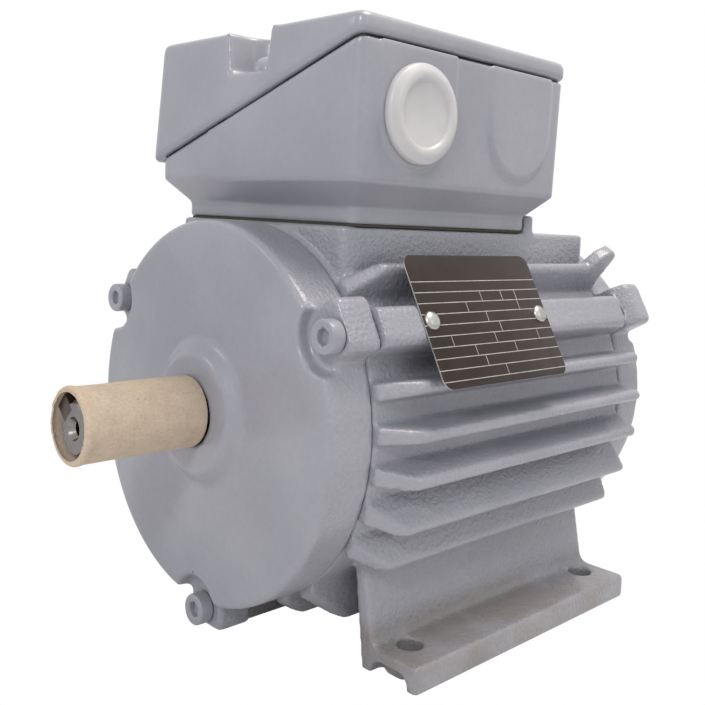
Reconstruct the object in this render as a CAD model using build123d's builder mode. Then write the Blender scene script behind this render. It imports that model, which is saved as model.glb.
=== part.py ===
from build123d import *

import os
from math import atan, cos, degrees, radians, sin, tan

# Three-phase induction motor on feet, shaft height 63, every size in millimetres.
# The origin is on the ground at the centre of the four foot holes.
# +X is to the right seen from the drive end, +Y runs to the closed rear end, +Z is up.

# Mounting sizes
shaft_height = 63.0
foot_hole_across = 100.0
foot_hole_along = 80.0
foot_hole_d = 7.0
shoulder_to_foot_hole = 40.0

# Shaft, key and bearings
shaft_d = 14.0
shaft_extension = 30.0
shaft_body_d = 20.0
shaft_chamfer = 0.8
key_width = 5.0
key_height = 5.0
key_seat_depth = 3.0
key_length = 25.0
key_angle = 138.0
centre_core_d = 4.2
centre_depth = 12.5
countersink_d = 6.0
bearing_bore_d = 15.0
bearing_outer_d = 35.0
bearing_width = 11.0
inner_race_d = 21.5
outer_race_d = 28.8
closure_thickness = 0.6
closure_recess = 0.5

# Clearances
fit = 0.02
running = 0.3
thread_clearance = 0.05
air_gap = 0.3

# Housing wall and its ends along the shaft
housing_front_y = -59.2
housing_length = 112.8
housing_d = 104.0
bore_d = 96.0
fin_height = 8.3
fin_root_half = 2.6
fin_tip_half = 1.8
fin_front_rise = 2.0
fin_slope_length = 10.7
bottom_fin_z = 8.0
bottom_fin_spread = 10.0
bottom_fin_first = 19.5
bar_width = 10.8
bar_face = 60.8
bar_rounding = 2.2
bar_slope_length = 4.3
side_screw_angle = 28.8
horn_length = 8.5
horn_rise = 6.2
horn_overhang = 2.4
horn_flush = 0.6
horn_half = 2.3

# Angle at the wall and angle at the tip of each side fin, from the top fin down
fin_angles = ((42.5, 45.5), (13.7, 13.5), (2.4, 1.6), (-7.9, -10.3), (-17.3, -23.5), (-29.2, -35.4))

# Feet
foot_width_over = 122.0
foot_length = 98.2
foot_thickness = 7.0
foot_wall = 3.9
foot_wall_inner_x = 41.4
foot_wall_top_x = 36.6
foot_wall_top_z = 30.0
channel_width = 12.5
channel_height = 3.7
channel_rounding = 3.0
foot_fillet = 3.0
foot_edge = 1.2
foot_boss_d = 13.0

# Pad that carries the terminal box
pad_width = 74.0
pad_front_y = -58.0
pad_rear_y = 51.0
pad_top_z = 115.2
pad_corner = 2.5
post_width = 5.4
post_length = 4.4
post_height = 5.5
post_gap = 1.0
post_rounding = 1.5
passage_y = -45.0
passage_width = 26.0
passage_depth = 12.0

# End shields
shield_d = 104.6
shield_wall = 4.0
front_shield_depth = 14.6
rear_shield_depth = 13.4
shield_rounding = 1.3
front_floor = 3.5
rear_floor = 2.4
spigot_length = 3.5
spigot_wall = 4.0
hub_d = 45.0
hub_overlap = 0.8
boss_height = 3.3
boss_crest_d = 32.0
boss_base_d = 39.6
seal_d = 24.0
seal_width = 5.0
seal_lip = 1.2
seal_lip_gap = 0.8
lug_width = 14.4
lug_shift = 1.7
front_lug_face = 59.3
rear_lug_face = 62.0
bottom_lug_face = 60.5
lug_rounding = 2.0
lug_height = 10.7
lug_ramp_length = 5.0
lug_ramp_depth = 4.5
screw_circle_r = 55.0
screw_pocket_r = 9.2

# End shield screws
screw_d = 5.0
screw_head_d = 8.5
screw_head_height = 4.0
screw_grip = 10.0
hexagon_across = 4.0
hexagon_depth = 2.2

# Stator and rotor
core_front_y = -36.0
core_length = 65.0
rotor_d = 59.4
stator_slots = 24
slot_opening = 2.2
slot_lip = 1.2
slot_narrow = 3.8
slot_wide = 6.4
slot_depth = 11.0
coil_clearance = 0.15
end_turn_length = 18.0
end_turn_inner_r = 33.5
end_turn_outer_r = 45.0
end_turn_chamfer = 4.0
rotor_slots = 22
rotor_slot_narrow = 2.2
rotor_slot_wide = 4.2
rotor_slot_depth = 7.0
rotor_bridge = 0.8
end_ring_width = 8.0
end_ring_inner_d = 36.0
end_ring_blades = 11
blade_height = 6.0
blade_thickness = 2.0
blade_inset = 1.0
spring_thickness = 0.5
spring_height = 2.0

# Terminal box
box_centre_y = -19.3
gasket_thickness = 0.6
neck_width = 74.8
neck_length = 73.0
neck_height = 4.2
box_width = 87.4
box_length = 84.8
box_corner = 2.8
box_flare_height = 6.5
box_draft = 0.9
box_wall = 3.5
box_floor = 3.0
split_height = 31.0
split_angle = 18.3
seal_strip = 0.5
lid_top_z = 167.5
lid_wall = 3.0
lid_overhang = 1.0
lid_left_lean = 2.7
lid_rounding = 2.0
notch_width = 16.0
notch_depth = 14.0
notch_height = 11.7
notch_flare = 8.0
lid_screw_inset = 6.5
lid_screw_d = 4.0
lid_screw_head_d = 9.6
lid_screw_head_height = 5.0
lid_screw_length = 22.0
box_screw_d = 4.0
box_screw_head_d = 7.0
box_screw_head_height = 2.8
box_screw_reach = 8.0
box_screw_across = 54.0
box_screw_along = 50.0

# Cable entries on the right wall of the terminal box
entry_front_y = -41.0
entry_rear_y = 2.4
entry_z = 144.5
entry_pad_r = 14.0
entry_pad_face = 44.9
entry_hole_d = 20.0
knockout_skin = 1.2
plug_flange_d = 25.8
plug_flange_thickness = 3.0
plug_step = 1.0
plug_recess_d = 16.6
plug_recess_depth = 1.0
plug_body_d = 19.4
plug_body_length = 8.0
plug_wall = 1.4

# Terminal board and what is fastened to it
board_width = 52.0
board_length = 30.0
board_thickness = 6.0
board_foot = 3.0
stud_pitch_x = 16.0
stud_pitch_y = 14.0
stud_d = 4.0
stud_height = 13.0
stud_nut_d = 8.0
stud_nut_height = 3.0
link_width = 6.4
link_thickness = 1.0
cable_lug_d = 8.2
cable_lug_thickness = 0.8
lead_d = 2.2
lug_reach = 5.4
lead_gather = 0.6
board_screw_x = 22.5
board_screw_head_d = 6.0
earth_screw_x = 12.0
earth_screw_y = 4.0
earth_clamp_size = 9.0
earth_clamp_thickness = 2.0

# Rating plate and its rivets
plate_width = 52.5
plate_height = 36.6
plate_thickness = 0.5
plate_corner = 3.0
plate_front_y = -45.3
rivet_spacing = 46.0
rivet_head_d = 5.2
rivet_head_height = 1.3
rivet_shank_d = 2.8
rivet_shank_length = 5.0

# Cardboard sleeve that protects the shaft end
sleeve_inner_d = 17.1
sleeve_wall = 1.05
sleeve_offset = 0.9
sleeve_overhang = 1.5

# Places that follow from the sizes above
shoulder_y = -(foot_hole_along / 2 + shoulder_to_foot_hole)
shaft_end_y = shoulder_y - shaft_extension
housing_rear_y = housing_front_y + housing_length
housing_r = housing_d / 2
bore_r = bore_d / 2
front_face_y = housing_front_y - front_shield_depth
boss_face_y = front_face_y - boss_height
seal_front_y = boss_face_y + seal_lip
rear_face_y = housing_rear_y + rear_shield_depth
front_bearing_y = front_face_y + front_floor
rear_pocket_y = rear_face_y - rear_floor
rear_bearing_y = rear_pocket_y - spring_height - bearing_width
core_rear_y = core_front_y + core_length
lug_front_y = housing_front_y - lug_height
lug_rear_y = housing_rear_y + lug_height
fin_tip_r = housing_r + fin_height
fin_root_r = (housing_r + bore_r) / 2
lug_angles = (side_screw_angle, 180 - side_screw_angle, 270)
lug_shifts = (lug_shift, -lug_shift, 0)
stator_bore_r = rotor_d / 2 + air_gap
box_bottom_z = pad_top_z + gasket_thickness
flare_bottom_z = box_bottom_z + neck_height
flare_top_z = flare_bottom_z + box_flare_height
box_inside_z = box_bottom_z + box_floor
split_z = box_bottom_z + split_height
shaft_axis = Axis((0, 0, shaft_height), (0, 1, 0))


def station(y):
    """Cross plane at y with +X and +Z as its axes, centred on the shaft, facing the drive end."""
    return Plane(origin=(0, y, shaft_height), x_dir=(1, 0, 0), z_dir=(0, -1, 0))


def ground_station(y):
    """Cross plane at y like station, but with its origin on the ground."""
    return Plane(origin=(0, y, 0), x_dir=(1, 0, 0), z_dir=(0, -1, 0))


def section_plane():
    """Plane through the shaft axis whose axes are the station y and the radius."""
    return Plane(origin=(0, 0, shaft_height), x_dir=(0, 1, 0), z_dir=(1, 0, 0))


def polar(radius, angle):
    """Point at a radius and an angle from +X towards +Z, in a cross plane."""
    return Vector(radius * cos(radians(angle)), radius * sin(radians(angle)))


def turned(radius, angle):
    """Place at a radius and an angle in a cross plane, with local x pointing outwards."""
    point = polar(radius, angle)
    return Location((point.X, point.Y, 0), (0, 0, angle))


def save(piece, name):
    """Label a finished piece and write its STEP file."""
    piece.part.label = name
    export_step(piece.part, f"parts/{name}.step")


def ring(front, rear, inner_r, outer_r):
    """Plain ring round the shaft between two stations."""
    with BuildPart() as piece:
        with BuildSketch(station(rear)):
            Circle(outer_r)
            Circle(inner_r, mode=Mode.SUBTRACT)
        extrude(amount=rear - front)
    return piece


def grouped(piece, places):
    """Copies of one small piece at several places, kept as separate solids."""
    with BuildPart() as group:
        with Locations(*places):
            add(piece.part)
    return group


def fin_outline(root, tip):
    """Tapered fin from a root point to a round tip, as a closed face in a cross plane."""
    along = (tip - root).normalized()
    side = Vector(-along.Y, along.X)
    crown = tip - along * fin_tip_half
    with BuildLine() as outline:
        Line(root + side * fin_root_half, crown + side * fin_tip_half)
        ThreePointArc(crown + side * fin_tip_half, tip, crown - side * fin_tip_half)
        Line(crown - side * fin_tip_half, root - side * fin_root_half)
        Line(root - side * fin_root_half, root + side * fin_root_half)
    make_face(outline.edges())


def build_fins():
    """Right-hand cooling fins, with their front ends sloped down to the joint."""
    with BuildPart() as fins:
        with BuildSketch(station(housing_rear_y)):
            for root_angle, tip_angle in fin_angles:
                fin_outline(polar(fin_root_r, root_angle), polar(fin_tip_r, tip_angle))
            for number in range(2):
                x = bottom_fin_first + number * bottom_fin_spread
                wall_z = -(fin_root_r**2 - x**2) ** 0.5
                fin_outline(Vector(x, wall_z), Vector(x, bottom_fin_z - shaft_height))
        extrude(amount=housing_length)
        slope_low = housing_r + fin_front_rise
        slope_high = 2 * fin_tip_r
        run = fin_slope_length * (slope_high - slope_low) / (fin_tip_r - slope_low)
        with BuildSketch(section_plane()):
            with BuildLine():
                Polyline(
                    (housing_front_y, slope_low),
                    (housing_front_y + run, slope_high),
                    (housing_front_y, slope_high),
                    close=True,
                )
            make_face()
        revolve(axis=shaft_axis, mode=Mode.SUBTRACT)
    return fins


def build_horn():
    """Thumb-shaped rear end of the top fin, which stands above it and out past the wall."""
    root_angle, tip_angle = fin_angles[0]
    root = polar(fin_root_r, root_angle)
    tip = polar(fin_tip_r, tip_angle)
    along = (tip - root).normalized()
    height = (tip - root).length
    start_y = housing_rear_y - horn_length
    back = (housing_rear_y - horn_length / 2, height + 2 * horn_rise / 3)
    crest = (housing_rear_y, height + horn_rise)
    knuckle = (housing_rear_y + 3 * horn_overhang / 4, height + 7 * horn_rise / 8)
    nose = (housing_rear_y + horn_overhang, height + horn_rise / 2)
    heel = (housing_rear_y, height / 2)
    plane = Plane(
        origin=(root.X, 0, shaft_height + root.Y),
        x_dir=(0, 1, 0),
        z_dir=(along.Y, 0, -along.X),
    )
    with BuildPart() as horn:
        with BuildSketch(plane):
            with BuildLine():
                Polyline(nose, heel, (housing_rear_y, 0), (start_y, 0), (start_y, height - horn_flush))
                ThreePointArc((start_y, height - horn_flush), back, crest)
                ThreePointArc(crest, knuckle, nose)
            make_face()
        extrude(amount=horn_half, both=True)
    return horn


def build_bars():
    """Three thick bars that hold the end shield screws, sloped at the rear."""
    with BuildPart() as bars:
        depth = bar_face - fin_root_r
        with BuildSketch(station(housing_rear_y)):
            for angle in lug_angles:
                with Locations(turned(fin_root_r + depth / 2 - bar_rounding, angle)):
                    RectangleRounded(depth + 2 * bar_rounding, bar_width, bar_rounding)
        extrude(amount=housing_length)
        with BuildSketch(section_plane()):
            with BuildLine():
                Polyline(
                    (housing_rear_y, housing_r + fin_front_rise),
                    (housing_rear_y, 2 * bar_face),
                    (housing_rear_y - bar_slope_length, 2 * bar_face),
                    (housing_rear_y - bar_slope_length, bar_face + fin_front_rise),
                    close=True,
                )
            make_face()
        revolve(axis=shaft_axis, mode=Mode.SUBTRACT)
    return bars


def build_foot():
    """Right foot with its channelled sole and the wall that rises to the housing."""
    sole_x = foot_width_over / 2
    wall_x = foot_wall_inner_x + foot_wall
    with BuildPart() as foot:
        with BuildSketch(ground_station(foot_length / 2)) as outline:
            with BuildLine():
                Polyline(
                    (foot_wall_inner_x, 0),
                    (sole_x, 0),
                    (sole_x, foot_thickness),
                    (wall_x, foot_thickness),
                    (foot_wall_top_x + foot_wall, foot_wall_top_z),
                    (foot_wall_top_x, foot_wall_top_z),
                    close=True,
                )
            make_face()
            fillet(outline.vertices().sort_by_distance((wall_x, foot_thickness))[0], foot_fillet)
            fillet(outline.vertices().sort_by_distance((sole_x, foot_thickness))[0], foot_edge)
            with Locations((foot_hole_across / 2 + foot_edge, 0)):
                RectangleRounded(channel_width, 2 * channel_height, channel_rounding, mode=Mode.SUBTRACT)
        extrude(amount=foot_length)
        ends = foot.edges().filter_by(Axis.Z).group_by(Axis.X)[-1]
        fillet(ends, foot_edge)
    return foot


def build_housing():
    """Finned stator housing cast in one piece with its feet and the terminal box pad."""
    right_side = (build_fins(), build_horn(), build_foot())
    bars = build_bars()
    with BuildPart() as housing:
        with BuildSketch(station(housing_rear_y)):
            Circle(housing_r)
        extrude(amount=housing_length)
        for piece in right_side:
            add(piece.part)
            add(mirror(piece.part, about=Plane.YZ, mode=Mode.PRIVATE))
        add(bars.part)
        with BuildSketch(Plane((0, (pad_front_y + pad_rear_y) / 2, pad_top_z))):
            RectangleRounded(pad_width, pad_rear_y - pad_front_y, pad_corner)
        extrude(amount=-(pad_top_z - shaft_height - bore_r * cos(radians(side_screw_angle)) + fin_height))
        post_y = box_centre_y + neck_length / 2 + post_gap + post_length / 2
        with BuildSketch(Plane((0, post_y, pad_top_z))):
            with GridLocations(neck_width - post_width - post_gap, 0, 2, 1):
                RectangleRounded(post_width, post_length, post_rounding)
        extrude(amount=post_height)
        with BuildSketch(Plane.XY):
            with GridLocations(foot_hole_across, foot_hole_along, 2, 2):
                Circle(foot_boss_d / 2)
        extrude(amount=foot_thickness - foot_edge)
        with BuildSketch(station(housing_rear_y + horn_length)):
            Circle(bore_r)
        extrude(amount=housing_length + 2 * horn_length, mode=Mode.SUBTRACT)
        with BuildSketch(Plane.XY):
            with GridLocations(foot_hole_across, foot_hole_along, 2, 2):
                Circle(foot_hole_d / 2)
        extrude(amount=foot_thickness + foot_edge, mode=Mode.SUBTRACT)
        with BuildSketch(Plane((0, passage_y, pad_top_z))):
            SlotOverall(passage_width, passage_depth)
        extrude(amount=-(pad_top_z - shaft_height - bore_r + passage_depth), mode=Mode.SUBTRACT)
        drill_shield_screw_holes()
        with Locations(*box_screw_places(pad_top_z)):
            Hole(box_screw_d / 2 + thread_clearance, depth=box_screw_reach)
        with Locations(*rivet_places()):
            Hole(rivet_shank_d / 2 + fit, depth=rivet_shank_length + 2 * fit)
    return housing


def drill_shield_screw_holes():
    """Blind holes for the end shield screws in both ends of the bars."""
    depth = 2 * screw_grip
    for rear in (housing_front_y + depth, housing_rear_y):
        with BuildSketch(station(rear)) as holes:
            for angle in lug_angles:
                with Locations(turned(screw_circle_r, angle)):
                    Circle(screw_d / 2 + thread_clearance)
        extrude(holes.sketch, amount=depth, mode=Mode.SUBTRACT)


def add_lugs(joint_y, seat_y, outer_y, side_face):
    """Screw lugs on an end shield, with the cap cut back round each screw head."""
    root_r = bore_r - spigot_wall
    lug_length = abs(seat_y - joint_y)
    with BuildSketch(station(max(joint_y, seat_y))) as lugs:
        for angle, shift in zip(lug_angles, lug_shifts):
            depth = (side_face if shift else bottom_lug_face) - root_r
            with Locations(turned(root_r + depth / 2, angle) * Location((0, shift, 0))):
                RectangleRounded(depth, lug_width, lug_rounding)
    extrude(lugs.sketch, amount=lug_length)
    with BuildSketch(station(max(seat_y, outer_y))) as pockets:
        for angle in lug_angles:
            with Locations(turned(screw_circle_r, angle)):
                Circle(screw_pocket_r)
    extrude(pockets.sketch, amount=abs(outer_y - seat_y), mode=Mode.SUBTRACT)
    with BuildSketch(station(max(joint_y, seat_y))) as holes:
        for angle in lug_angles:
            with Locations(turned(screw_circle_r, angle)):
                Circle(screw_d / 2 + running)
    extrude(holes.sketch, amount=lug_length, mode=Mode.SUBTRACT)


def build_front_shield():
    """Drive end shield: a cap with a shaft boss, a bearing hub and three screw lugs."""
    seat_r = bearing_outer_d / 2 + fit
    spigot_r = bore_r - fit
    hub_end_y = front_bearing_y + bearing_width + hub_overlap
    wall_y = front_face_y + shield_wall
    lip_r = bearing_bore_d / 2 + seal_lip_gap
    with BuildPart() as shield:
        with BuildSketch(section_plane()) as profile:
            with BuildLine():
                Polyline(
                    (housing_front_y, shield_d / 2),
                    (front_face_y, shield_d / 2),
                    (front_face_y, boss_base_d / 2),
                    (boss_face_y, boss_crest_d / 2),
                    (boss_face_y, lip_r),
                    (seal_front_y, lip_r),
                    (seal_front_y, seal_d / 2 + fit),
                    (front_bearing_y, seal_d / 2 + fit),
                    (front_bearing_y, seat_r),
                    (hub_end_y, seat_r),
                    (hub_end_y, hub_d / 2),
                    (wall_y, hub_d / 2),
                    (wall_y, spigot_r - spigot_wall),
                    (housing_front_y + spigot_length, spigot_r - spigot_wall),
                    (housing_front_y + spigot_length, spigot_r),
                    (housing_front_y, spigot_r),
                    close=True,
                )
            make_face()
            rim = profile.vertices().sort_by_distance((front_face_y, shield_d / 2))[0]
            fillet(rim, shield_rounding)
            crest = profile.vertices().sort_by_distance((boss_face_y, boss_crest_d / 2))[0]
            fillet(crest, boss_height / 2)
        revolve(axis=shaft_axis)
        add_lugs(housing_front_y, lug_front_y, boss_face_y - boss_height, front_lug_face)
    return shield


def build_rear_shield():
    """Closed rear end shield with a bearing hub and three screw lugs."""
    seat_r = bearing_outer_d / 2 + fit
    spigot_r = bore_r - fit
    hub_end_y = rear_bearing_y - hub_overlap
    wall_y = rear_face_y - shield_wall
    with BuildPart() as shield:
        with BuildSketch(section_plane()) as profile:
            with BuildLine():
                Polyline(
                    (housing_rear_y, shield_d / 2),
                    (rear_face_y, shield_d / 2),
                    (rear_face_y, 0),
                    (rear_pocket_y, 0),
                    (rear_pocket_y, seat_r),
                    (hub_end_y, seat_r),
                    (hub_end_y, hub_d / 2),
                    (wall_y, hub_d / 2),
                    (wall_y, spigot_r - spigot_wall),
                    (housing_rear_y - spigot_length, spigot_r - spigot_wall),
                    (housing_rear_y - spigot_length, spigot_r),
                    (housing_rear_y, spigot_r),
                    close=True,
                )
            make_face()
            rim = profile.vertices().sort_by_distance((rear_face_y, shield_d / 2))[0]
            fillet(rim, shield_rounding)
        revolve(axis=shaft_axis)
        add_lugs(housing_rear_y, lug_rear_y, rear_face_y + shield_rounding, rear_lug_face)
        with BuildSketch(section_plane()) as ramp:
            with BuildLine():
                Polyline(
                    (housing_rear_y, rear_lug_face - lug_ramp_depth),
                    (housing_rear_y + lug_ramp_length, rear_lug_face + lug_rounding),
                    (housing_rear_y + lug_ramp_length, 2 * rear_lug_face),
                    (housing_rear_y, 2 * rear_lug_face),
                    close=True,
                )
            make_face()
        revolve(ramp.sketch, axis=shaft_axis, mode=Mode.SUBTRACT)
    return shield


def build_cap_screw():
    """Socket head cap screw with its seat at the origin and its head above."""
    with BuildPart() as screw:
        Cylinder(screw_head_d / 2, screw_head_height, align=(Align.CENTER, Align.CENTER, Align.MIN))
        Cylinder(screw_d / 2, lug_height + screw_grip, align=(Align.CENTER, Align.CENTER, Align.MAX))
        with BuildSketch(Plane.XY.offset(screw_head_height)):
            RegularPolygon(hexagon_across / 2, 6, major_radius=False)
        extrude(amount=-hexagon_depth, mode=Mode.SUBTRACT)
    return screw


def shield_screw_places(seat_y, facing):
    """Places of the three screws of one end shield, facing -1 to the front or 1 to the rear."""
    places = []
    for angle in lug_angles:
        point = polar(screw_circle_r, angle)
        plane = Plane(
            origin=(point.X, seat_y, shaft_height + point.Y),
            x_dir=(1, 0, 0),
            z_dir=(0, facing, 0),
        )
        places.append(plane.location)
    return places


def slot_outline(wall, inset):
    """Stator slot shape, drawn from its mouth outwards along local x."""
    mouth = stator_bore_r + slot_lip
    with BuildLine() as outline:
        Polyline(
            (mouth + inset, -slot_narrow / 2 + wall),
            (mouth + slot_depth - inset, -slot_wide / 2 + wall),
            (mouth + slot_depth - inset, slot_wide / 2 - wall),
            (mouth + inset, slot_narrow / 2 - wall),
            close=True,
        )
    make_face(outline.edges())


def build_stator_core():
    """Laminated stator core with half-closed slots."""
    with BuildPart() as core:
        with BuildSketch(station(core_rear_y)) as lamination:
            Circle(bore_r - fit)
            Circle(stator_bore_r, mode=Mode.SUBTRACT)
            with BuildSketch(mode=Mode.PRIVATE) as slot:
                slot_outline(0, 0)
                with Locations((stator_bore_r + slot_lip / 2, 0)):
                    Rectangle(2 * slot_lip, slot_opening)
            with PolarLocations(0, stator_slots):
                add(slot.sketch, mode=Mode.SUBTRACT)
        extrude(amount=core_length)
    return core


def build_slot_coils():
    """Copper coil sides that fill the stator slots."""
    with BuildPart() as coils:
        with BuildSketch(station(core_rear_y)):
            with BuildSketch(mode=Mode.PRIVATE) as coil:
                slot_outline(coil_clearance, coil_clearance)
            with PolarLocations(0, stator_slots):
                add(coil.sketch)
        extrude(amount=core_length)
    return coils


def build_end_turns(front, rear):
    """Bandaged winding overhang at one end of the core."""
    with BuildPart() as turns:
        with BuildSketch(station(rear)):
            Circle(end_turn_outer_r)
            Circle(end_turn_inner_r, mode=Mode.SUBTRACT)
        extrude(amount=rear - front)
        free_end = -1 if front < core_front_y else 1
        edges = turns.edges().filter_by(GeomType.CIRCLE).sort_by(Axis.Y)
        chamfer(edges[:2] if free_end < 0 else edges[-2:], end_turn_chamfer)
    return turns


def rotor_slot_outline(wall):
    """Rotor bar shape along local x, just under the rotor surface."""
    outer = rotor_d / 2 - rotor_bridge
    with BuildLine() as outline:
        Polyline(
            (outer - rotor_slot_depth + wall, -rotor_slot_narrow / 2 + wall),
            (outer - wall, -rotor_slot_wide / 2 + wall),
            (outer - wall, rotor_slot_wide / 2 - wall),
            (outer - rotor_slot_depth + wall, rotor_slot_narrow / 2 - wall),
            close=True,
        )
    make_face(outline.edges())


def build_rotor_core():
    """Laminated rotor core with closed slots for the cage bars."""
    with BuildPart() as core:
        with BuildSketch(station(core_rear_y)):
            Circle(rotor_d / 2)
            Circle(shaft_body_d / 2 + fit, mode=Mode.SUBTRACT)
            with BuildSketch(mode=Mode.PRIVATE) as slot:
                rotor_slot_outline(0)
            with PolarLocations(0, rotor_slots):
                add(slot.sketch, mode=Mode.SUBTRACT)
        extrude(amount=core_length)
    return core


def build_rotor_cage():
    """Cast aluminium cage: bars, two end rings and their fan blades."""
    ring_r = rotor_d / 2 - rotor_bridge
    mid_r = (ring_r + end_ring_inner_d / 2) / 2
    blade_length = ring_r - end_ring_inner_d / 2 - 2 * blade_inset
    with BuildPart() as cage:
        with BuildSketch(station(core_rear_y)):
            with BuildSketch(mode=Mode.PRIVATE) as bar:
                rotor_slot_outline(fit)
            with PolarLocations(0, rotor_slots):
                add(bar.sketch)
        extrude(amount=core_length)
        for front, outwards in ((core_front_y - end_ring_width, -1), (core_rear_y, 1)):
            with BuildSketch(station(front + end_ring_width)):
                Circle(ring_r)
                Circle(end_ring_inner_d / 2, mode=Mode.SUBTRACT)
            extrude(amount=end_ring_width)
            blade_rear = front if outwards < 0 else front + end_ring_width + blade_height
            with BuildSketch(station(blade_rear)):
                with PolarLocations(mid_r, end_ring_blades):
                    Rectangle(blade_length, blade_thickness)
            extrude(amount=blade_height)
    return cage


def build_shaft():
    """Stepped shaft with an open keyway and a centre hole in the drive end."""
    seat_r = bearing_bore_d / 2
    front_shoulder_y = front_bearing_y + bearing_width
    with BuildPart() as shaft:
        with BuildSketch(section_plane()):
            with BuildLine():
                Polyline(
                    (shaft_end_y, 0),
                    (shaft_end_y, shaft_d / 2 - shaft_chamfer),
                    (shaft_end_y + shaft_chamfer, shaft_d / 2),
                    (shoulder_y, shaft_d / 2),
                    (shoulder_y, seat_r),
                    (front_shoulder_y, seat_r),
                    (front_shoulder_y, shaft_body_d / 2),
                    (rear_bearing_y, shaft_body_d / 2),
                    (rear_bearing_y, seat_r),
                    (rear_bearing_y + bearing_width + shaft_chamfer, seat_r),
                    (rear_bearing_y + bearing_width + shaft_chamfer, 0),
                    close=True,
                )
            make_face()
        revolve(axis=shaft_axis)
        with BuildSketch(station(shaft_end_y + key_length + 2 * fit)):
            with Locations(turned(shaft_d / 2 - key_seat_depth + key_height / 2, key_angle)):
                Rectangle(key_height, key_width + 2 * fit)
        extrude(amount=key_length + key_height, mode=Mode.SUBTRACT)
        with Locations(station(shaft_end_y).location):
            CounterSinkHole(centre_core_d / 2, countersink_d / 2, centre_depth, 60)
    return shaft


def build_key():
    """Parallel key, flush with the end of the shaft."""
    with BuildPart() as key:
        with BuildSketch(station(shaft_end_y + key_length)):
            with Locations(turned(shaft_d / 2 - key_seat_depth + key_height / 2 + fit, key_angle)):
                Rectangle(key_height, key_width)
        extrude(amount=key_length)
    return key


def build_closures(front):
    """Two thin shields that close one ball bearing."""
    inner_r = inner_race_d / 2 + running
    with BuildPart() as closures:
        first = front + closure_recess
        second = front + bearing_width - closure_recess - closure_thickness
        for face in (first, second):
            with BuildSketch(station(face + closure_thickness)):
                Circle(outer_race_d / 2)
                Circle(inner_r, mode=Mode.SUBTRACT)
            extrude(amount=closure_thickness)
    return closures


def build_bearing(front):
    """Outer ring, inner ring, closures and ball cage of one bearing."""
    rear = front + bearing_width
    inset = closure_recess + closure_thickness + running
    outer = ring(front, rear, outer_race_d / 2, bearing_outer_d / 2)
    inner = ring(front, rear, bearing_bore_d / 2 + fit, inner_race_d / 2)
    cage = ring(front + inset, rear - inset, inner_race_d / 2 + running, outer_race_d / 2 - running)
    return outer, inner, build_closures(front), cage


def build_seal():
    """Shaft seal pressed into the front shield."""
    return ring(seal_front_y, seal_front_y + seal_width, bearing_bore_d / 2 + fit + thread_clearance, seal_d / 2)


def build_wave_spring():
    """Wavy washer that preloads the rear bearing, drawn as a dished washer."""
    outer_r = bearing_outer_d / 2 - running
    inner_r = outer_race_d / 2
    front = rear_pocket_y - spring_height
    with BuildPart() as spring:
        with BuildSketch(section_plane()):
            with BuildLine():
                Polyline(
                    (front, inner_r),
                    (front + spring_thickness, inner_r),
                    (rear_pocket_y, outer_r),
                    (rear_pocket_y - spring_thickness, outer_r),
                    close=True,
                )
            make_face()
        revolve(axis=shaft_axis)
    return spring


def level(z, x=0.0):
    """Horizontal plane at height z, centred on the terminal box."""
    return Plane((x, box_centre_y, z))


def split_plane(offset):
    """Sloping joint plane between the terminal box and its lid, raised by offset."""
    slope = radians(split_angle)
    normal = Vector(-sin(slope), 0, cos(slope))
    origin = Vector(0, 0, split_z) + normal * offset
    return Plane(origin=origin, x_dir=(cos(slope), 0, sin(slope)), z_dir=normal)


def box_outline(z, inset):
    """Width and length of the drafted terminal box wall at height z, less an inset."""
    grown = box_draft * (z - flare_top_z) / (lid_top_z - flare_top_z)
    return box_width + 2 * grown - 2 * inset, box_length + 2 * grown - 2 * inset


def lid_screw_points():
    """Centre points of the two lid screws, front and rear."""
    reach = box_length / 2 - lid_screw_inset
    return ((0, box_centre_y - reach), (0, box_centre_y + reach))


def upright_edges(part):
    """Corner edges of a box-like part: all that are neither level nor curved."""
    return part.edges().filter_by(lambda edge: abs(edge.tangent_at(0).Z) > 0.3)


def build_box_shell(inset, bottom_z, corner):
    """Solid with the outline of the terminal box: neck, flare and drafted wall, less an inset."""
    neck = (neck_width - 2 * inset, neck_length - 2 * inset)
    wall_height = lid_top_z - flare_top_z
    with BuildPart() as shell:
        with BuildSketch(level(bottom_z)):
            RectangleRounded(*neck, corner)
        extrude(amount=flare_bottom_z - bottom_z)
        with BuildSketch(level(flare_bottom_z)):
            RectangleRounded(*neck, corner)
        with BuildSketch(level(flare_top_z)):
            RectangleRounded(*box_outline(flare_top_z, inset), corner)
        loft(ruled=True)
        with BuildSketch(level(flare_top_z)):
            RectangleRounded(*box_outline(flare_top_z, inset), corner)
        extrude(amount=wall_height, taper=-degrees(atan(box_draft / wall_height)))
    return shell


def build_base_pillars(outside):
    """Pillars for the lid screws, inside the outline of the terminal box."""
    with BuildPart() as pillars:
        for x, y in lid_screw_points():
            with BuildSketch(notch_plane(x, y, box_bottom_z)):
                with Locations((0, box_wall)):
                    Rectangle(3 * lid_screw_d, 2 * (box_wall + lid_screw_d))
            extrude(amount=lid_top_z - box_bottom_z)
        add(outside.part, mode=Mode.INTERSECT)
    return pillars


def build_box_base():
    """Terminal box with a flared foot, two cable entry pads and a sloping rim."""
    outside = build_box_shell(0, box_bottom_z, box_corner)
    inside = build_box_shell(box_wall, box_inside_z, box_corner - box_wall / 2)
    pillars = build_base_pillars(outside)
    with BuildPart() as base:
        add(outside.part)
        for centre_y in (entry_front_y, entry_rear_y):
            add_entry_pad(centre_y)
        add(inside.part, mode=Mode.SUBTRACT)
        add(pillars.part)
        split(bisect_by=split_plane(0), keep=Keep.BOTTOM)
        cut_entries()
        cut_base_holes()
    return base


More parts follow.
